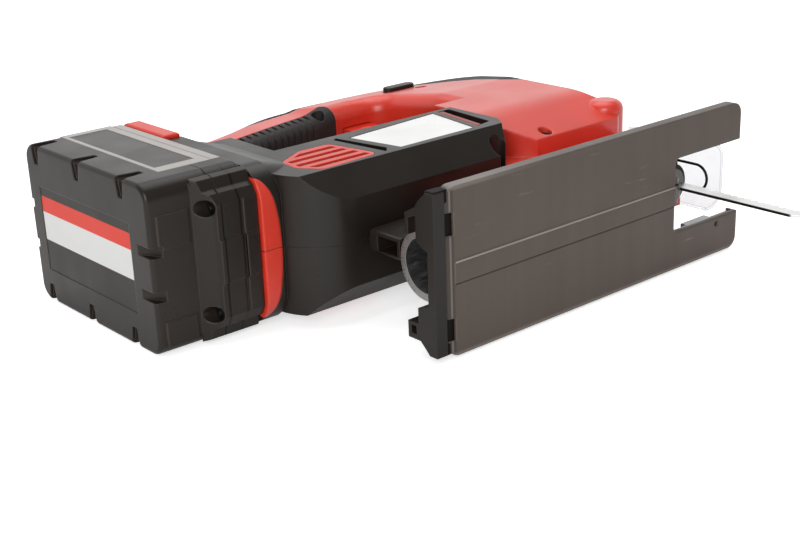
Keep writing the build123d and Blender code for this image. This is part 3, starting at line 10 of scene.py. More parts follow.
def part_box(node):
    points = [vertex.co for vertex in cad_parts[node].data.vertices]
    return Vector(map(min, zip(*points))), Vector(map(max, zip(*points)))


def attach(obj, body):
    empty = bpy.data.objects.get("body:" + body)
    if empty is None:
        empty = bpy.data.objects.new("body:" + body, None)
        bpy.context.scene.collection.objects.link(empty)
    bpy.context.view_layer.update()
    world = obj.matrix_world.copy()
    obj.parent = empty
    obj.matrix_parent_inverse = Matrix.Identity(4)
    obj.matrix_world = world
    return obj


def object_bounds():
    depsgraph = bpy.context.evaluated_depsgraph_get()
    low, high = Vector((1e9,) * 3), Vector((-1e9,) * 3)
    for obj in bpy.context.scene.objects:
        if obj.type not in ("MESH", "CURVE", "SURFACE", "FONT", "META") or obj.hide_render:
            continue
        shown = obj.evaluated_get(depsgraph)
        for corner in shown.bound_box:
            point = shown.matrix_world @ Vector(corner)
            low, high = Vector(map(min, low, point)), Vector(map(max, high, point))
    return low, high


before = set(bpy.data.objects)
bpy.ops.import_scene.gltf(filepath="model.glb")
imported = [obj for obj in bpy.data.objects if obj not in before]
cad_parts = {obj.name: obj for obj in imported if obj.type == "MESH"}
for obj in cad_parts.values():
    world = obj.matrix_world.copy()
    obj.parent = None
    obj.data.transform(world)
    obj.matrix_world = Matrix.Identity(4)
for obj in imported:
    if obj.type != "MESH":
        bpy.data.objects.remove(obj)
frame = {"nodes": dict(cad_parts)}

bl_info = {
    "name": "Jigsaw looks",
    "version": (1, 0, 0),
    "blender": (4, 5, 0),
    "location": "3D View > Sidebar > Jigsaw",
    "description": "Finishes, small pieces and a studio for a cordless jigsaw",
    "category": "Object",
}

MM = 0.001
cad_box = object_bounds()
sole_low, sole_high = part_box("sole_cover")
lip_height = 6.0 * MM
sole_face = sole_high.y - lip_height
joint_z = (sole_low.z + sole_high.z) / 2

# Direction of view, in radians: turn about the vertical, tilt down and roll
VIEW_TURN = 0.872898
VIEW_TILT = 0.352648
VIEW_ROLL = 0.0402944
# Camera, in mm: its place in the measures of place(), its lens and the width of its sensor
VIEW_PLACE = (-368.8, -408.3, 207.3)
VIEW_LENS = 61.45
VIEW_SENSOR = 36.0

# Slits of an air inlet: height as a share of the inlet, rear end and front end in mm from its rear
VENT_SLITS = (
    (0.185, 6.4, 39.0),
    (0.395, 2.6, 37.6),
    (0.605, 3.0, 36.4),
    (0.815, 11.8, 35.0),
)
# Slat behind a slit: half its width and thickness, lean in radians, and depth as a share of the inlet's
SLAT_HALF_WIDTH = 2.2 * MM
SLAT_HALF_THICKNESS = 0.4 * MM
SLAT_LEAN = 0.55
SLAT_SINK = 0.12

# Strip in the slot before the label: two corners in the measures of place(), and the lean of its far end
SLOT_LOW = (97.6, 82.0, 31.05)
SLOT_HIGH = (100.2, 117.0, 33.8)
SLOT_LEAN = 5.4 * MM

# Pack: thickness of the plate's frame, length of the grey strip before it (a painted reflection) and step
# between the two joints
FRAME_THICKNESS = 0.15 * MM
STRIP_LENGTH = 7.0 * MM
PACK_JOINT_STEP = 9.4 * MM
# Upper limits of the rating plate's bands below the top one, as shares of its height
RATING_SHARES = (0.37, 0.71, 0.90)

# Sole, in mm: ends of the raised runner, half its width, end of the rear slope and ridge on the slope
RUNNER_REAR = 4.8
RUNNER_FRONT = 153.6
RUNNER_HALF = 4.8
SLOPE_END = 4.5
RIDGE_PLACE = 2.8
# Painted highlight on the upper edge of the sole, in mm: where it starts to fade and where it is faintest
HIGHLIGHT_FULL = 12.0
HIGHLIGHT_FAINT = 70.0
# Rounded edge of the runner: radius, and in mm the height of its axis and how far that lies inside the edge
RAIL_RADIUS = 0.45 * MM
RAIL_HEIGHT = -0.2
RAIL_INSET = 0.05
# Painted shadow below the runner, in mm: its width, and the heights of its foot and its top
SHADOW_WIDTH = 1.0
SHADOW_FOOT = -0.05
SHADOW_TOP = 0.02
# Rear clip, in mm: middles and half width of the notches, place and half width of the end lugs
NOTCH_SIDES = (22.4, -26.4)
NOTCH_HALF = 5.22
LUG_SIDE = 35.0
LUG_HALF = 3.2
# Tongue heads and lugs of the clip, in mm: rear end and foot, then front end and top
TONGUE_LOW = (0.1, 1.4)
TONGUE_HIGH = (4.45, 3.02)
LUG_LOW = (-6.0, 1.0)
LUG_HIGH = (3.2, 7.5)
# Rounding of the lugs
LUG_ROUND = 1.2 * MM
# Bevel scale: height of the saddle's axis in mm, angle of the whole scale and step between long marks
SADDLE_AXIS = 16.0
SCALE_SPAN = math.radians(120)
LONG_MARK_STEP = 3
# Length of a short mark as a share of a long one, and distance of the marks from the saddle's rim
SHORT_MARK_SHARE = 0.6
MARK_MARGIN = 0.25 * MM
# How far the marks stand out of the saddle's end, and how deep they sit in it
MARK_PROUD = 0.04 * MM
MARK_SINK = 0.05 * MM

# Range in which most values of a noise lie, and half the width of a hard colour border
NOISE_LOW = 0.3
NOISE_HIGH = 0.7
BORDER = 0.1 * MM
# Bump of the moulding grain, brightness of the painted highlight on an edge and share of colour left in the
# body joint
GRAIN_STRENGTH = 0.35
EDGE_LIFT = 0.004
SEAM_SHARE = 0.25

# Lamps: place from the tool's middle and width of the square, in metres
KEY_PLACE = Vector((0.15, 0.35, 1.1))
KEY_WIDTH = 1.2
FRONT_PLACE = Vector((-1.1, -0.9, 0.55))
FRONT_WIDTH = 0.9
# Floor: half its width in metres, and share of its glow that shows through the clear shield
FLOOR_HALF = 6.0
THROUGH_SHARE = 0.25
# Backdrop in reflections, from nothing to full: how far a direction faces it, and the direction's height
BACKDROP_FACING = (-0.3, 0.5)
BACKDROP_HEIGHT = (0.75, 0.35)


def place(x, y, z):
    """Point given in millimetres from the sole's rear edge, the sole's face and the body joint."""
    return Vector((sole_low.x + x * MM, sole_face + y * MM, joint_z + z * MM))


def shaded(paint, share):
    """Colour with each channel multiplied by a share."""
    return [channel * share for channel in paint]


# Settings in the sidebar


def colour(label, words, value):
    """Colour property with a swatch."""
    return FloatVectorProperty(name=label, description=words, subtype="COLOR", size=3, min=0.0, max=1.0,
                               default=value)


def amount(label, words, value, **limits):
    """Number property that isn't negative."""
    return FloatProperty(name=label, description=words, min=0.0, default=value, **limits)


def length(label, words, value):
    """Length property, stored in metres."""
    return amount(label, words, value, subtype="DISTANCE", unit="LENGTH")


class JigsawColours(PropertyGroup):
    """Colours of the tool's finishes."""

    red: colour("Red shell", "Moulded red of the body shell", (0.69, 0.038, 0.018))
    black: colour("Black cover", "Moulded black of the motor cover", (0.0150, 0.0116, 0.0094))
    soft: colour("Soft grip", "Rubber of the grip and the front pad", (0.020, 0.0165, 0.0150))
    pack: colour("Pack", "Charcoal of the battery pack", (0.0190, 0.0146, 0.0118))
    plate: colour("Side plate", "Bare dark panel on the side of the pack", (0.052, 0.046, 0.042))
    frame: colour("Plate frame", "Satin frame round the side plate", (0.40, 0.37, 0.35))
    label: colour("Label", "Bare white label on the motor cover", (0.86, 0.86, 0.845))
    sole: colour("Sole", "Warm grey of the sole cover", (0.087, 0.0655, 0.053))
    # Pale colour of the sole: its scuffs, and painted highlights and a painted floor reflection on its edges
    highlight_and_scuff_colour: colour("Worn sole", "Rubbed edges and scuffs of the sole cover", (0.30, 0.265, 0.24))
    metal: colour("Cast metal", "Light alloy of the base plate", (0.42, 0.42, 0.42))
    steel: colour("Steel", "Bright steel of the moving pieces", (0.50, 0.50, 0.51))


class JigsawSizes(PropertyGroup):
    """Sizes of the small pieces."""

    tick_count: IntProperty(name="Scale marks", description="Marks on the bevel scale", min=3, max=61,
                            default=19)
    tick_width: length("Mark width", "Width of one mark of the bevel scale", 0.28 * MM)
    tick_length: length("Mark length", "Length of a long mark of the bevel scale", 1.5 * MM)
    frame_width: length("Frame width", "Width of the frame round the side plate", 2.4 * MM)
    edge_round: length("Edge rounding", "Radius that moulded edges seem to have", 0.7 * MM)
    sole_round: length("Sole rounding", "Radius that the sole's long edges seem to have", 2.0 * MM)


class JigsawStage(PropertyGroup):
    """Light and backdrop."""

    floor_tone: amount("Floor tone", "Grey value of the floor", 0.9, max=1.0)
    floor_glow: amount("Floor glow", "Glow of the floor to the camera", 0.6)
    floor_shine: amount("Floor shine", "Glow of the floor in reflections", 0.1)
    fill: amount("Fill", "Strength of the light from all round", 0.42)
    room: amount("Room", "Strength of the dim room in reflections", 0.15)
    key_power: amount("Key lamp", "Power of the overhead lamp", 9.0, unit="POWER")
    front_power: amount("Front lamp", "Power of the lamp by the camera", 13.0, unit="POWER")


# Node helpers


def feed(tree, value, socket):
    """Link a socket to an input, or set the input to a plain value."""
    if isinstance(value, NodeSocket):
        tree.links.new(value, socket)
    else:
        socket.default_value = value


def math_node(tree, operation, *values):
    """Math node fed by sockets or plain numbers."""
    node = tree.nodes.new("ShaderNodeMath")
    node.operation = operation
    for socket, value in zip(node.inputs, values):
        feed(tree, value, socket)
    return node.outputs["Value"]


def map_range(tree, value, low, high, to_low, to_high, smooth=False):
    """Map Range node fed by sockets or plain numbers."""
    node = tree.nodes.new("ShaderNodeMapRange")
    node.interpolation_type = "SMOOTHSTEP" if smooth else "LINEAR"
    wanted = {"Value": value, "From Min": low, "From Max": high, "To Min": to_low, "To Max": to_high}
    for label, given in wanted.items():
        feed(tree, given, node.inputs[label])
    return node.outputs["Result"]


def object_point(tree):
    """Object coordinates of the shaded point."""
    return tree.nodes.new("ShaderNodeTexCoord").outputs["Object"]


def object_axes(tree):
    """X, Y and Z of the shaded point's object coordinates."""
    split = tree.nodes.new("ShaderNodeSeparateXYZ")
    tree.links.new(object_point(tree), split.inputs["Vector"])
    return split.outputs


def stretched_point(tree, stretch):
    """Object coordinates scaled along X, Y and Z, so that a noise on them is drawn out."""
    mapping = tree.nodes.new("ShaderNodeMapping")
    mapping.inputs["Scale"].default_value = stretch
    tree.links.new(object_point(tree), mapping.inputs["Vector"])
    return mapping.outputs["Vector"]


def distance(tree, value, level):
    """How far a coordinate is from a level, either way."""
    return math_node(tree, "ABSOLUTE", math_node(tree, "SUBTRACT", value, level))


def above(tree, value, level):
    """Mask with a hard border: one above a level, nothing below it."""
    return map_range(tree, value, level - BORDER, level + BORDER, 0.0, 1.0)


def between(tree, value, low, high):
    """Mask with hard borders: one between two levels, nothing outside them."""
    under = map_range(tree, value, high - BORDER, high + BORDER, 1.0, 0.0)
    return math_node(tree, "MULTIPLY", above(tree, value, low), under)


def noise(tree, point, scale, detail):
    """Noise value at a point."""
    node = tree.nodes.new("ShaderNodeTexNoise")
    node.inputs["Detail"].default_value = detail
    tree.links.new(point, node.inputs["Vector"])
    feed(tree, scale, node.inputs["Scale"])
    return node.outputs["Fac"]


def spread_noise(tree, value, low, high):
    """Noise value brought into a wanted range."""
    return map_range(tree, value, NOISE_LOW, NOISE_HIGH, low, high)


# Shared effects, one node group each


def new_group(name, inputs, outputs):
    """Empty shader node group with the named float inputs and the given outputs."""
    group = bpy.data.node_groups.new(name, "ShaderNodeTree")
    for label, value in inputs.items():
        socket = group.interface.new_socket(name=label, in_out="INPUT", socket_type="NodeSocketFloat")
        socket.default_value = value
    for label, kind in outputs.items():
        group.interface.new_socket(name=label, in_out="OUTPUT", socket_type=kind)
    given = group.nodes.new("NodeGroupInput").outputs
    result = group.nodes.new("NodeGroupOutput").inputs
    return group, given, result


def make_grain_group(name):
    """Moulding grain: a fine height and a roughness that drifts slowly over the piece."""
    group, given, result = new_group(
        name,
        {"Scale": 2200.0, "Roughness": 0.45, "Spread": 0.08},
        {"Height": "NodeSocketFloat", "Roughness": "NodeSocketFloat"},
    )
    point = object_point(group)
    fine = noise(group, point, scale=given["Scale"], detail=2.0)
    slow = noise(group, point, scale=45.0, detail=4.0)
    low = math_node(group, "SUBTRACT", given["Roughness"], given["Spread"])
    high = math_node(group, "ADD", given["Roughness"], given["Spread"])
    group.links.new(fine, result["Height"])
    group.links.new(spread_noise(group, slow, low, high), result["Roughness"])
    return group


def make_edge_group(name):
    """Rounded edges: a softened normal, and a mask that is brightest on the edges."""
    group, given, result = new_group(
        name,
        {"Radius": 0.5 * MM},
        {"Normal": "NodeSocketVector", "Edge": "NodeSocketFloat"},
    )
    bevel = group.nodes.new("ShaderNodeBevel")
    bevel.samples = 6
    group.links.new(given["Radius"], bevel.inputs["Radius"])
    shape = group.nodes.new("ShaderNodeNewGeometry")
    turn = group.nodes.new("ShaderNodeVectorMath")
    turn.operation = "DOT_PRODUCT"
    group.links.new(bevel.outputs["Normal"], turn.inputs[0])
    group.links.new(shape.outputs["True Normal"], turn.inputs[1])
    flat = 0.995
    sharp = 0.8
    edge = map_range(group, turn.outputs["Value"], flat, sharp, 0.0, 1.0, smooth=True)
    group.links.new(bevel.outputs["Normal"], result["Normal"])
    group.links.new(edge, result["Edge"])
    return group


def make_seam_group(name):
    """Joint between the two body halves: a mask along the plane where they meet."""
    group, given, result = new_group(
        name,
        {"Level": joint_z, "Width": 0.25 * MM},
        {"Seam": "NodeSocketFloat"},
    )
    away = distance(group, object_axes(group)["Z"], given["Level"])
    seam = map_range(group, away, 0.0, given["Width"], 1.0, 0.0, smooth=True)
    group.links.new(seam, result["Seam"])
    return group


def make_drift_group(name):
    """Slow unevenness of colour, as handling and moulding leave it."""
    group, given, result = new_group(
        name,
        {"Scale": 30.0, "Low": 0.9, "High": 1.1},
        {"Tone": "NodeSocketFloat"},
    )
    cloud = noise(group, object_point(group), scale=given["Scale"], detail=5.0)
    group.links.new(spread_noise(group, cloud, given["Low"], given["High"]), result["Tone"])
    return group


EFFECTS = {
    "moulding_grain": make_grain_group,
    "rounded_edges": make_edge_group,
    "joint_seam": make_seam_group,
    "colour_drift": make_drift_group,
}


def shared(tree, name, **values):
    """Place a shared effect in a material with its own values, and return the effect's outputs."""
    node = tree.nodes.new("ShaderNodeGroup")
    node.node_tree = bpy.data.node_groups.get(name) or EFFECTS[name](name)
    for label, value in values.items():
        node.inputs[label.capitalize()].default_value = value
    return node.outputs


# Materials


def new_material(name, roughness, metallic=0.0):
    """Material with a Principled shader."""
    material = bpy.data.materials.new(name)
    material.use_nodes = True
    shader = material.node_tree.nodes["Principled BSDF"]
    shader.inputs["Roughness"].default_value = roughness
    shader.inputs["Metallic"].default_value = metallic
    return material, material.node_tree, shader


def tinted(tree, paint, tone):
    """Plain colour multiplied by a tone that changes over the surface."""
    mix = tree.nodes.new("ShaderNodeMix")
    mix.data_type = "RGBA"
    mix.blend_type = "MULTIPLY"
    mix.inputs["Factor"].default_value = 1.0
    mix.inputs["A"].default_value = (*paint, 1.0)
    tree.links.new(tone, mix.inputs["B"])
    return mix.outputs["Result"]


def blended(tree, mask, first, second):
    """Mix two colours, each a socket or a plain colour, by a mask."""
    mix = tree.nodes.new("ShaderNodeMix")
    mix.data_type = "RGBA"
    tree.links.new(mask, mix.inputs["Factor"])
    for label, value in (("A", first), ("B", second)):
        paint = value if isinstance(value, NodeSocket) else (*value, 1.0)
        feed(tree, paint, mix.inputs[label])
    return mix.outputs["Result"]


def bumped(tree, shader, height, strength, depth, normal=None):
    """Feed a bump into the shader's normal."""
    bump = tree.nodes.new("ShaderNodeBump")
    bump.inputs["Strength"].default_value = strength
    bump.inputs["Distance"].default_value = depth
    tree.links.new(height, bump.inputs["Height"])
    if normal is not None:
        tree.links.new(normal, bump.inputs["Normal"])
    tree.links.new(bump.outputs["Normal"], shader.inputs["Normal"])


def moulded(name, paint, roughness, grain_scale=2600.0, grain_depth=0.03 * MM, edge_highlight_gain=1.1, seam=False,
            shine=0.5, softness=1.0, coat=0.0):
    """Moulded plastic: grain, edges with a painted highlight, a slow drift of tone and perhaps the body
    joint.
    """
    material, tree, shader = new_material(name, roughness)
    shader.inputs["Specular IOR Level"].default_value = shine
    shader.inputs["Coat Weight"].default_value = coat
    shader.inputs["Coat Roughness"].default_value = roughness
    edge_round = bpy.context.scene.jigsaw_sizes.edge_round
    grain = shared(tree, "moulding_grain", scale=grain_scale, roughness=roughness, spread=0.05)
    edges = shared(tree, "rounded_edges", radius=edge_round * softness)
    drift = shared(tree, "colour_drift", scale=26.0, low=0.93, high=1.07)
    # Edges lightened in colour: a painted highlight
    highlight_and_scuff_colour = [min(1.0, channel + EDGE_LIFT) for channel in shaded(paint, edge_highlight_gain)]
    painted = blended(tree, edges["Edge"], tinted(tree, paint, drift["Tone"]), highlight_and_scuff_colour)
    if seam:
        line = shared(tree, "joint_seam")
        painted = blended(tree, line["Seam"], painted, shaded(paint, SEAM_SHARE))
    tree.links.new(painted, shader.inputs["Base Color"])
    tree.links.new(grain["Roughness"], shader.inputs["Roughness"])
    bumped(tree, shader, grain["Height"], GRAIN_STRENGTH, grain_depth, edges["Normal"])
    return material


def machined(name, paint, roughness, stretch):
    """Metal with fine marks, drawn out along the axes on which the stretch is small."""
    material, tree, shader = new_material(name, roughness, metallic=1.0)
    marks = noise(tree, stretched_point(tree, stretch), scale=900.0, detail=4.0)
    edges = shared(tree, "rounded_edges", radius=0.3 * MM)
    drift = shared(tree, "colour_drift", scale=60.0, low=0.85, high=1.08)
    uneven = spread_noise(tree, marks, roughness - 0.1, roughness + 0.12)
    tree.links.new(tinted(tree, paint, drift["Tone"]), shader.inputs["Base Color"])
    tree.links.new(uneven, shader.inputs["Roughness"])
    bumped(tree, shader, marks, strength=0.15, depth=0.03 * MM, normal=edges["Normal"])
    return material


def dress(material, *names):
    """Give a material to CAD nodes."""
    for name in names:
        mesh = frame["nodes"][name].data
        if len(mesh.materials) == 0:
            mesh.materials.append(material)
        for index in range(len(mesh.materials)):
            mesh.materials[index] = material


# Pieces


def block(bm, low, high):
    """Add a box between two corners and return its vertices."""
    corners = bmesh.ops.create_cube(bm, size=1.0)["verts"]
    bmesh.ops.scale(bm, vec=high - low, verts=corners)
    bmesh.ops.translate(bm, vec=(low + high) / 2, verts=corners)
    return corners


def rounded_rail(bm, start, end, radius):
    """Add a round rail with domed ends between two points along X."""
    ball = bmesh.ops.create_uvsphere(bm, u_segments=32, v_segments=16, radius=radius)["verts"]
    bmesh.ops.rotate(bm, cent=(0, 0, 0), matrix=Matrix.Rotation(math.pi / 2, 3, "Y"), verts=ball)
    far_half = [corner for corner in ball if corner.co.x > radius * 0.01]
    bmesh.ops.translate(bm, vec=(end.x - start.x - 2 * radius, 0, 0), verts=far_half)
    bmesh.ops.translate(bm, vec=start + Vector((radius, 0, 0)), verts=ball)


def finish_piece(bm, name, body, material):
    """Turn a bmesh into an object that rides on a body."""
    bmesh.ops.recalc_face_normals(bm, faces=bm.faces)
    mesh = bpy.data.meshes.new(name)
    bm.to_mesh(mesh)
    bm.free()
    mesh.materials.append(material)
    piece = bpy.data.objects.new(name, mesh)
    bpy.context.scene.collection.objects.link(piece)
    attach(piece, body)


class JIGSAW_OT_shell(Operator):
    """Finish the red body, its vents, the trigger and the latch buttons"""

    bl_idname = "jigsaw.shell"
    bl_label = "Red shell"

    def execute(self, context):
        paint = context.scene.jigsaw_colours.red
        shell = moulded("red_shell", paint, 0.34, grain_depth=0.04 * MM, edge_highlight_gain=1.12, seam=True,
                        softness=2.5, coat=0.6)
        dress(shell, "right_shell", "left_shell")
        trim = moulded("red_trim", paint, 0.33, edge_highlight_gain=1.12)
        dress(trim, "right_vent", "left_vent", "trigger", "right_latch", "left_latch")
        # Slats in red at 0.4 of its brightness: painted shade inside the air inlets
        slats = moulded("vent_slats", shaded(paint, 0.4), 0.4)
        self.vent_slats("right_vent", 1, slats)
        self.vent_slats("left_vent", -1, slats)
        return {"FINISHED"}

    def vent_slats(self, node, way, material):
        """Sloped slats that close the view through the slits of an air inlet."""
        low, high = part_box(node)
        middle = (low.z + high.z) / 2
        half = Vector((0, SLAT_HALF_WIDTH, SLAT_HALF_THICKNESS))
        lean = Matrix.Rotation(way * SLAT_LEAN, 3, "X")
        sink = Vector((0, 0, -way * SLAT_SINK * (high.z - low.z)))
        bm = bmesh.new()
        for share, rear, front in VENT_SLITS:
            level = low.y + share * (high.y - low.y)
            start = Vector((low.x + rear * MM, level, middle)) - half
            end = Vector((low.x + front * MM, level, middle)) + half
            corners = block(bm, start, end)
            bmesh.ops.rotate(bm, cent=(start + end) / 2, matrix=lean, verts=corners)
            bmesh.ops.translate(bm, vec=sink, verts=corners)
        finish_piece(bm, node + "_slats", "body", material)


class JIGSAW_OT_cover(Operator):
    """Finish the black motor cover and the small black pieces"""

    bl_idname = "jigsaw.cover"
    bl_label = "Black cover"

    def execute(self, context):
        paint = context.scene.jigsaw_colours.black
        cover = moulded("black_cover", paint, 0.32, grain_scale=1900.0, grain_depth=0.06 * MM, edge_highlight_gain=3.6,
                        seam=True, shine=0.35, softness=0.6)
        dress(cover, "right_motor_cover", "left_motor_cover")
        trim = moulded("black_trim", paint, 0.36, grain_scale=2200.0, grain_depth=0.04 * MM, edge_highlight_gain=1.8,
                       shine=0.3)
        dress(trim, "lock_button", "pendulum_lever", "bevel_lever", "shoe_clip")
        return {"FINISHED"}


class JIGSAW_OT_grips(Operator):
    """Finish the soft grip and the front pad"""

    bl_idname = "jigsaw.grips"
    bl_label = "Soft grips"

    def execute(self, context):
        paint = context.scene.jigsaw_colours.soft
        rubber = {"grain_scale": 1500.0, "grain_depth": 0.1 * MM, "edge_highlight_gain": 1.4, "seam": True}
        dress(moulded("soft_grip", paint, 0.62, **rubber), "right_grip", "left_grip")
        dress(moulded("soft_pad", paint, 0.60, **rubber), "right_front_pad", "left_front_pad")
        return {"FINISHED"}


class JIGSAW_OT_label(Operator):
    """Finish the bare label and the red strip in the slot before it, darkened as painted shade"""

    bl_idname = "jigsaw.label"
    bl_label = "Label"

    def execute(self, context):
        colours = context.scene.jigsaw_colours
        sheet = moulded("label_sheet", colours.label, 0.30, grain_scale=900.0, grain_depth=0.01 * MM,
                        edge_highlight_gain=1.0)
        dress(sheet, "label_plate")
        # Red at half its brightness: painted shade in the slot
        strip = moulded("slot_strip", shaded(colours.red, 0.5), 0.4)
        low = place(*SLOT_LOW)
        high = place(*SLOT_HIGH)
        bm = bmesh.new()
        corners = block(bm, low, high)
        far_end = [corner for corner in corners if corner.co.y > (low.y + high.y) / 2]
        bmesh.ops.translate(bm, vec=(SLOT_LEAN, 0, 0), verts=far_end)
        finish_piece(bm, "slot_strip", "body", strip)
        return {"FINISHED"}


class JIGSAW_OT_pack(Operator):
    """Finish the battery pack and its bare plates"""

    bl_idname = "jigsaw.pack"
    bl_label = "Battery pack"

    def execute(self, context):
        colours = context.scene.jigsaw_colours
        dress(pack_material(colours), "pack_tub", "pack_top")
        panel = {"grain_scale": 1200.0, "grain_depth": 0.02 * MM}
        dress(moulded("side_plate", colours.plate, 0.38, **panel), "pack_plate")
        dress(rating_material(colours), "rating_plate")
        screw = machined("dark_screw", (0.05, 0.05, 0.052), 0.42, (1.0, 1.0, 6.0))
        dress(screw, "pack_screws", "housing_screws")
        satin = moulded("plate_frame", colours.frame, 0.35, **panel)
        self.side_frame(context.scene.jigsaw_sizes.frame_width, satin)
        return {"FINISHED"}

    def side_frame(self, width, material):
        """Satin frame that lies on the side plate, wider towards the tool and at its two ends."""
        low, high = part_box("pack_plate")
        inner_rear = low.x + width
        inner_front = high.x - 2 * width
        inner_low = low.y + 3 * width
        inner_high = high.y - 2 * width
        sides = (
            (low.x, low.y, high.x, inner_low),
            (low.x, inner_high, high.x, high.y),
            (low.x, inner_low, inner_rear, inner_high),
            (inner_front, inner_low, high.x, inner_high),
        )
        bm = bmesh.new()
        for rear, under, front, over in sides:
            block(bm, Vector((rear, under, high.z)), Vector((front, over, high.z + FRAME_THICKNESS)))
        finish_piece(bm, "side_plate_frame", "pack", material)


def pack_material(colours):
    """Charcoal case with two dark joints, and a painted reflection: a strip in front of the plate in the
    grey of its frame.
    """
    material = moulded("pack_case", colours.pack, 0.32, grain_scale=1700.0, grain_depth=0.06 * MM,
                       edge_highlight_gain=3.2, shine=0.3, softness=1.5)
    tree = material.node_tree
    shader = tree.nodes["Principled BSDF"]
    painted = shader.inputs["Base Color"].links[0].from_socket
    axes = object_axes(tree)
    low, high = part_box("pack_plate")
    # Grey strip on the top face in front of the plate: a painted reflection
    along = between(tree, axes["X"], high.x, high.x + STRIP_LENGTH)
    across = between(tree, axes["Y"], low.y, high.y)
    strip = math_node(tree, "MULTIPLY", along, across)
    strip = math_node(tree, "MULTIPLY", strip, above(tree, axes["Z"], high.z))
    painted = blended(tree, strip, painted, colours.frame)
    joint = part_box("pack_top")[0].x
    for spot in (joint, joint + PACK_JOINT_STEP):
        away = distance(tree, axes["X"], spot)
        line = map_range(tree, away, 0.45 * MM, 0.55 * MM, 1.0, 0.0)
        painted = blended(tree, line, painted, shaded(colours.pack, 0.15))
    tree.links.new(painted, shader.inputs["Base Color"])
    return material


def rating_material(colours):
    """Bare rating plate in four bands, from its foot: dark, white, red and dark."""
    roughness = 0.4
    material, tree, shader = new_material("rating_bands", roughness)
    shader.inputs["Specular IOR Level"].default_value = 0.3
    height = object_axes(tree)["Z"]
    low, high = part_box("rating_plate")
    dark = shaded(colours.pack, 1.2)
    painted = dark
    for share, paint in zip(RATING_SHARES, (shaded(colours.label, 0.8), colours.red, dark)):
        level = low.z + (high.z - low.z) * share
        painted = blended(tree, above(tree, height, level), painted, paint)
    grain = shared(tree, "moulding_grain", scale=900.0, roughness=roughness, spread=0.05)
    tree.links.new(painted, shader.inputs["Base Color"])
    tree.links.new(grain["Roughness"], shader.inputs["Roughness"])
    bumped(tree, shader, grain["Height"], strength=0.2, depth=0.01 * MM)
    return material


def sole_material(colours):
    """Warm grey moulding with streaks across it, a darker rear slope, scuffs, and painted highlights and
    floor reflection.
    """
    roughness = 0.40
    material, tree, shader = new_material("sole_cover", roughness)
    shader.inputs["Specular IOR Level"].default_value = 0.4
    sizes = bpy.context.scene.jigsaw_sizes
    soft = shared(tree, "rounded_edges", radius=sizes.sole_round)
    edges = shared(tree, "rounded_edges", radius=sizes.edge_round)
    grain = shared(tree, "moulding_grain", scale=1400.0, roughness=roughness, spread=0.05)
    axes = object_axes(tree)
    across = noise(tree, stretched_point(tree, (1.0, 1.0, 0.04)), scale=130.0, detail=5.0)
    streaks = spread_noise(tree, across, 0.94, 1.06)
    slope = place(SLOPE_END, 0, 0).x
    sloped = map_range(tree, axes["X"], slope - 0.4 * MM, slope + 0.1 * MM, 0.62, 1.0)
    toned = tinted(tree, colours.sole, math_node(tree, "MULTIPLY", streaks, sloped))
    # Painted highlight on the edges, then the painted highlights, scuffs and painted floor reflection of the
    # masks
    highlights_and_scuffs = math_node(tree, "MULTIPLY", edges["Edge"], 0.4)
    for mask in highlight_and_scuff_masks(tree, axes):
        highlights_and_scuffs = math_node(tree, "MAXIMUM", highlights_and_scuffs, mask)
    tree.links.new(blended(tree, highlights_and_scuffs, toned, colours.highlight_and_scuff_colour), shader.inputs["Base Color"])
    tree.links.new(grain["Roughness"], shader.inputs["Roughness"])
    bumped(tree, shader, grain["Height"], GRAIN_STRENGTH, 0.05 * MM, soft["Normal"])
    return material


def highlight_and_scuff_masks(tree, axes):
    """Paler places of the sole: painted highlights on the rear ridge and the upper edge towards the rear,
    scuffs, and a painted floor reflection on the lower edge.
    """
    # Painted highlight on the rear ridge
    away = distance(tree, axes["X"], place(RIDGE_PLACE, 0, 0).x)
    ridge = map_range(tree, away, 0.25 * MM, 0.55 * MM, 0.38, 0.0)
    along = noise(tree, stretched_point(tree, (0.10, 1.0, 1.0)), scale=330.0, detail=7.0)
    scuffs = map_range(tree, along, 0.68, 0.76, 0.0, 0.45)
    inner = 2.2 * MM
    outer = 0.3 * MM
    full = place(HIGHLIGHT_FULL, 0, 0).x
    faint = place(HIGHLIGHT_FAINT, 0, 0).x
    # Painted highlight on the upper edge, fading towards the front; painted floor reflection on the lower
    # edge
    faded = map_range(tree, axes["X"], full, faint, 0.5, 0.08, smooth=True)
    upper = map_range(tree, axes["Z"], sole_high.z - inner, sole_high.z - outer, 0.0, faded, smooth=True)
    lower = map_range(tree, axes["Z"], sole_low.z + inner, sole_low.z + outer, 0.0, 0.5, smooth=True)
    return ridge, scuffs, upper, lower


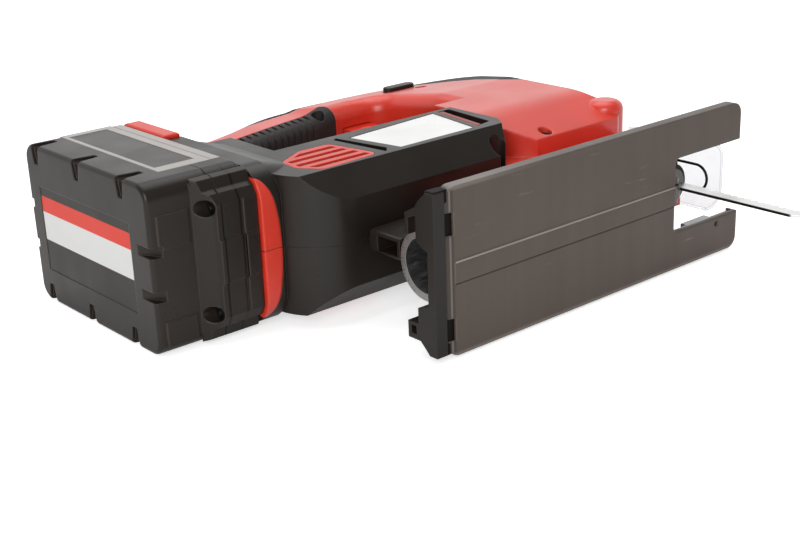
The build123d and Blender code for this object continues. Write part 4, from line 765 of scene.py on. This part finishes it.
class JIGSAW_OT_shoe(Operator):
    """Finish the sole and the base plate, dress the rear clip and mark the bevel scale"""

    bl_idname = "jigsaw.shoe"
    bl_label = "Shoe"

    def execute(self, context):
        colours = context.scene.jigsaw_colours
        dress(sole_material(colours), "sole_cover")
        dress(machined("base_metal", colours.metal, 0.42, (0.2, 1.0, 1.0)), "shoe_base")
        self.scale_marks(context.scene.jigsaw_sizes)
        self.runner_edges(colours)
        self.clip_ends(colours)
        return {"FINISHED"}

    def scale_marks(self, sizes):
        """Dark marks round the rear end of the bevel saddle."""
        low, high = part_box("shoe_base")
        axis = place(0, SADDLE_AXIS, 0)
        rim = high.y - MARK_MARGIN
        bm = bmesh.new()
        for mark in range(sizes.tick_count):
            share = 1.0 if mark % LONG_MARK_STEP == 0 else SHORT_MARK_SHARE
            half = sizes.tick_width / 2
            start = Vector((low.x - MARK_PROUD, rim - sizes.tick_length * share, axis.z - half))
            end = Vector((low.x + MARK_SINK, rim, axis.z + half))
            corners = block(bm, start, end)
            angle = SCALE_SPAN * (mark / (sizes.tick_count - 1) - 0.5)
            bmesh.ops.rotate(bm, cent=axis, matrix=Matrix.Rotation(angle, 3, "X"), verts=corners)
        ink = moulded("scale_ink", (0.02, 0.02, 0.02), 0.5, grain_scale=900.0, grain_depth=0.01 * MM,
                      edge_highlight_gain=1.0)
        finish_piece(bm, "bevel_scale_marks", "shoe", ink)

    def runner_edges(self, colours):
        """Rounded upper edge of the raised runner as a painted highlight, and a painted shadow in the corner
        below the runner.
        """
        # Upper edge of the runner in the pale colour: a painted highlight
        highlights_and_scuffs = moulded("runner_highlight", colours.highlight_and_scuff_colour, 0.34, grain_scale=1400.0)
        side = RUNNER_HALF - RAIL_INSET
        rear = place(RUNNER_REAR, RAIL_HEIGHT, side)
        front = place(RUNNER_FRONT, RAIL_HEIGHT, side)
        bm = bmesh.new()
        rounded_rail(bm, rear, front, RAIL_RADIUS)
        finish_piece(bm, "runner_upper_edge", "shoe", highlights_and_scuffs)
        # Sole grey at 0.3 of its brightness: a painted shadow below the runner
        shadow_strip = moulded("runner_shadow", shaded(colours.sole, 0.3), 0.6, grain_scale=1400.0, edge_highlight_gain=1.0)
        low = place(RUNNER_REAR, SHADOW_FOOT, -RUNNER_HALF - SHADOW_WIDTH)
        high = place(RUNNER_FRONT, SHADOW_TOP, -RUNNER_HALF)
        bm = bmesh.new()
        block(bm, low, high)
        finish_piece(bm, "runner_lower_corner", "shoe", shadow_strip)

    def clip_ends(self, colours):
        """Heads of the clip's tongues, dark blocks that fill the notches as painted shade, and the lugs at
        its two ends.
        """
        bm = bmesh.new()
        for side in NOTCH_SIDES:
            block(bm, place(*TONGUE_LOW, side - NOTCH_HALF), place(*TONGUE_HIGH, side + NOTCH_HALF))
        for side in (LUG_SIDE, -LUG_SIDE):
            lug = block(bm, place(*LUG_LOW, side - LUG_HALF), place(*LUG_HIGH, side + LUG_HALF))
            edges = {edge for corner in lug for edge in corner.link_edges}
            bmesh.ops.bevel(bm, geom=list(edges), offset=LUG_ROUND, offset_type="OFFSET", segments=3,
                            profile=0.5, affect="EDGES", material=-1)
        # Black at 0.4 of its brightness: painted shade in the notches, shared by the lugs
        black = moulded("clip_black", shaded(colours.black, 0.4), 0.55, grain_scale=2200.0,
                        grain_depth=0.04 * MM, edge_highlight_gain=1.5, shine=0.12)
        finish_piece(bm, "clip_ends", "shoe", black)


def blade_material():
    """Bright ground sides, darker in a band along the back edge."""
    material, tree, shader = new_material("blade_steel", 0.25, metallic=1.0)
    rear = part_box("blade")[0].x
    back = map_range(tree, object_axes(tree)["X"], rear + 0.1 * MM, rear + 0.7 * MM, 1.0, 0.0, smooth=True)
    drift = shared(tree, "colour_drift", scale=90.0, low=0.92, high=1.02)
    grain = shared(tree, "moulding_grain", scale=1600.0, roughness=0.28, spread=0.08)
    edges = shared(tree, "rounded_edges", radius=0.2 * MM)
    ground = tinted(tree, (0.90, 0.90, 0.89), drift["Tone"])
    tree.links.new(blended(tree, back, ground, (0.05, 0.048, 0.045)), shader.inputs["Base Color"])
    tree.links.new(grain["Roughness"], shader.inputs["Roughness"])
    bumped(tree, shader, grain["Height"], strength=0.15, depth=0.02 * MM, normal=edges["Normal"])
    return material


STEEL_PIECES = (
    "plunger", "gear_axle", "fork_pin", "roller_pin", "bevel_bolt", "yoke_roller", "pinion", "driven_gear",
    "rear_bearing", "front_bearing", "motor_can", "armature",
)
# Other metals: name, colour, roughness, stretch of the marks along X, Y and Z, and the pieces
METALS = (
    ("black_oxide", (0.03, 0.028, 0.027), 0.42, (1.0, 1.0, 1.0), ("clamp_collar",)),
    ("dark_steel", (0.16, 0.155, 0.15), 0.36, (1.0, 0.4, 1.0),
     ("blade_clamp", "guide_roller", "roller_fork")),
    ("bronze", (0.42, 0.27, 0.10), 0.38, (1.0, 0.3, 1.0), ("lower_bush", "upper_bush")),
    ("copper", (0.60, 0.27, 0.14), 0.35, (0.3, 1.0, 1.0), ("commutator", "pack_terminals")),
    ("magnet_iron", (0.07, 0.07, 0.07), 0.6, (1.0, 1.0, 1.0), ("magnets",)),
    ("guard_wire", (0.02, 0.02, 0.02), 0.4, (1.0, 0.2, 1.0), ("wire_guard",)),
)


class JIGSAW_OT_metal(Operator):
    """Finish the blade, the drive and the other metal pieces"""

    bl_idname = "jigsaw.metal"
    bl_label = "Metal pieces"

    def execute(self, context):
        colours = context.scene.jigsaw_colours
        dress(blade_material(), "blade")
        dress(machined("ground_steel", colours.steel, 0.30, (1.0, 0.2, 1.0)), *STEEL_PIECES)
        dress(machined("cast_alloy", colours.metal, 0.5, (1.0, 1.0, 1.0)), "gear_case", "upper_guide")
        for name, paint, roughness, stretch, pieces in METALS:
            dress(machined(name, paint, roughness, stretch), *pieces)
        return {"FINISHED"}


class JIGSAW_OT_inner(Operator):
    """Finish the pieces inside the housing"""

    bl_idname = "jigsaw.inner"
    bl_label = "Inner pieces"

    def execute(self, context):
        inner = moulded("inner_plastic", (0.03, 0.03, 0.03), 0.5, grain_scale=1800.0, grain_depth=0.04 * MM,
                        edge_highlight_gain=1.3)
        dress(inner, "switch_body", "brush_holder", "fan", "tool_terminals")
        carbon = moulded("brush_carbon", (0.015, 0.015, 0.016), 0.7, grain_scale=2500.0,
                         grain_depth=0.05 * MM, edge_highlight_gain=1.2)
        dress(carbon, "brushes")
        sleeve = moulded("cell_sleeve", (0.05, 0.16, 0.30), 0.3, grain_scale=900.0, grain_depth=0.02 * MM)
        dress(sleeve, "cells")
        return {"FINISHED"}


class JIGSAW_OT_shield(Operator):
    """Finish the clear dust shield"""

    bl_idname = "jigsaw.shield"
    bl_label = "Dust shield"

    def execute(self, context):
        material, tree, shader = new_material("clear_shield", 0.05)
        shader.inputs["Transmission Weight"].default_value = 1.0
        shader.inputs["IOR"].default_value = 1.05
        scuffs = noise(tree, object_point(tree), scale=240.0, detail=6.0)
        drift = shared(tree, "colour_drift", scale=80.0, low=0.95, high=1.0)
        edges = shared(tree, "rounded_edges", radius=1.2 * MM)
        clear = tinted(tree, (0.96, 0.96, 0.98), drift["Tone"])
        # Grey on the edges: painted shade that draws the faint lines of the shield's rim
        tree.links.new(blended(tree, edges["Edge"], clear, (0.42, 0.41, 0.47)), shader.inputs["Base Color"])
        tree.links.new(map_range(tree, scuffs, 0.35, 0.8, 0.03, 0.16), shader.inputs["Roughness"])
        dress(material, "dust_shield")
        return {"FINISHED"}


class JIGSAW_OT_stage(Operator):
    """Set the pale floor, the soft light and the camera"""

    bl_idname = "jigsaw.stage"
    bl_label = "Stage"

    def execute(self, context):
        stage = context.scene.jigsaw_stage
        context.scene.view_settings.view_transform = "Standard"
        self.surroundings(context.scene, stage)
        self.floor(stage)
        self.lamp("key_lamp", KEY_PLACE, KEY_WIDTH, stage.key_power)
        self.lamp("front_lamp", FRONT_PLACE, FRONT_WIDTH, stage.front_power)
        self.camera(context.scene)
        return {"FINISHED"}

    def surroundings(self, scene, stage):
        """White to the camera, and in reflections a bright backdrop low behind the tool in a dim room."""
        world = bpy.data.worlds.new("studio")
        world.use_nodes = True
        tree = world.node_tree
        back = tree.nodes["Background"]
        back.inputs["Color"].default_value = (1.0, 1.0, 1.0, 1.0)
        way = tree.nodes.new("ShaderNodeTexCoord").outputs["Generated"]
        split = tree.nodes.new("ShaderNodeSeparateXYZ")
        tree.links.new(way, split.inputs["Vector"])
        facing = tree.nodes.new("ShaderNodeVectorMath")
        facing.operation = "DOT_PRODUCT"
        facing.inputs[1].default_value = (math.cos(VIEW_TURN), math.sin(VIEW_TURN), 0.0)
        tree.links.new(way, facing.inputs[0])
        behind = map_range(tree, facing.outputs["Value"], *BACKDROP_FACING, 0.0, 1.0, smooth=True)
        low = map_range(tree, split.outputs["Z"], *BACKDROP_HEIGHT, 0.0, 1.0, smooth=True)
        backdrop = map_range(tree, math_node(tree, "MULTIPLY", behind, low), 0.0, 1.0, stage.room, 1.0)
        path = tree.nodes.new("ShaderNodeLightPath").outputs
        glossy = map_range(tree, path["Is Glossy Ray"], 0.0, 1.0, stage.fill, backdrop)
        seen = math_node(tree, "MAXIMUM", path["Is Camera Ray"], path["Is Transmission Ray"])
        tree.links.new(map_range(tree, seen, 0.0, 1.0, glossy, 1.0), back.inputs["Strength"])
        scene.world = world

    def floor(self, stage):
        """Wide pale floor that keeps a soft shadow."""
        bm = bmesh.new()
        bmesh.ops.create_grid(bm, x_segments=1, y_segments=1, size=FLOOR_HALF)
        mesh = bpy.data.meshes.new("studio_floor")
        bm.to_mesh(mesh)
        bm.free()
        material, tree, shader = new_material("floor_paper", 0.7)
        tone = stage.floor_tone
        shader.inputs["Base Color"].default_value = (tone, tone, tone, 1.0)
        shader.inputs["Specular IOR Level"].default_value = 0.2
        path = tree.nodes.new("ShaderNodeLightPath").outputs
        through = math_node(tree, "MULTIPLY", path["Is Transmission Ray"], THROUGH_SHARE)
        direct = math_node(tree, "MAXIMUM", path["Is Camera Ray"], through)
        seen = math_node(tree, "MULTIPLY", direct, stage.floor_glow)
        mirrored = math_node(tree, "MULTIPLY", path["Is Glossy Ray"], stage.floor_shine)
        shader.inputs["Emission Color"].default_value = (1.0, 1.0, 1.0, 1.0)
        tree.links.new(math_node(tree, "MAXIMUM", seen, mirrored), shader.inputs["Emission Strength"])
        mesh.materials.append(material)
        floor = bpy.data.objects.new("studio_floor", mesh)
        bpy.context.scene.collection.objects.link(floor)

    def lamp(self, name, offset, width, power):
        """Square soft lamp aimed at the tool's middle."""
        light = bpy.data.lights.new(name, "AREA")
        light.energy = power
        light.size = width
        holder = bpy.data.objects.new(name, light)
        holder.location = (cad_box[0] + cad_box[1]) / 2 + offset
        holder.rotation_euler = (-offset).to_track_quat("-Z", "Y").to_euler()
        bpy.context.scene.collection.objects.link(holder)

    def camera(self, scene):
        """Camera fitted to the photograph's corners of the pack and the sole."""
        reach = math.cos(VIEW_TILT)
        forward = Vector((reach * math.cos(VIEW_TURN), reach * math.sin(VIEW_TURN), -math.sin(VIEW_TILT)))
        level = forward.cross(Vector((0.0, 0.0, 1.0))).normalized()
        upright = level.cross(forward)
        right = level * math.cos(VIEW_ROLL) - upright * math.sin(VIEW_ROLL)
        up = level * math.sin(VIEW_ROLL) + upright * math.cos(VIEW_ROLL)
        lens = bpy.data.cameras.new("photo_camera")
        lens.sensor_fit = "HORIZONTAL"
        lens.sensor_width = VIEW_SENSOR
        lens.lens = VIEW_LENS
        lens.clip_start = 20 * MM
        holder = bpy.data.objects.new("photo_camera", lens)
        turned = Matrix((right, up, -forward)).transposed()
        holder.matrix_world = Matrix.Translation(place(*VIEW_PLACE)) @ turned.to_4x4()
        scene.collection.objects.link(holder)
        scene.camera = holder


class JIGSAW_PT_looks(Panel):
    """Sidebar panel of the jigsaw's looks"""

    bl_label = "Jigsaw"
    bl_idname = "JIGSAW_PT_looks"
    bl_space_type = "VIEW_3D"
    bl_region_type = "UI"
    bl_category = "Jigsaw"

    def draw(self, context):
        scene = context.scene
        for group in (scene.jigsaw_colours, scene.jigsaw_sizes, scene.jigsaw_stage):
            column = self.layout.column()
            for label in group.__annotations__:
                column.prop(group, label)
        for maker in OPERATORS:
            self.layout.operator(maker.bl_idname)


OPERATORS = (
    JIGSAW_OT_shell,
    JIGSAW_OT_cover,
    JIGSAW_OT_grips,
    JIGSAW_OT_label,
    JIGSAW_OT_pack,
    JIGSAW_OT_shoe,
    JIGSAW_OT_metal,
    JIGSAW_OT_inner,
    JIGSAW_OT_shield,
    JIGSAW_OT_stage,
)
GROUPS = {"jigsaw_colours": JigsawColours, "jigsaw_sizes": JigsawSizes, "jigsaw_stage": JigsawStage}


def register():
    """Register the classes and hang the settings on the scene."""
    for kind in (*GROUPS.values(), *OPERATORS, JIGSAW_PT_looks):
        bpy.utils.register_class(kind)
    for name, kind in GROUPS.items():
        setattr(bpy.types.Scene, name, PointerProperty(type=kind))


def unregister():
    """Undo register."""
    for name in GROUPS:
        delattr(bpy.types.Scene, name)
    for kind in (JIGSAW_PT_looks, *reversed(OPERATORS), *reversed(GROUPS.values())):
        bpy.utils.unregister_class(kind)


def main():
    """Dress the tool and set the stage."""
    register()
    bpy.ops.jigsaw.shell()
    bpy.ops.jigsaw.cover()
    bpy.ops.jigsaw.grips()
    bpy.ops.jigsaw.label()
    bpy.ops.jigsaw.pack()
    bpy.ops.jigsaw.shoe()
    bpy.ops.jigsaw.metal()
    bpy.ops.jigsaw.inner()
    bpy.ops.jigsaw.shield()
    bpy.ops.jigsaw.stage()


if __name__ == "__main__":
    main()
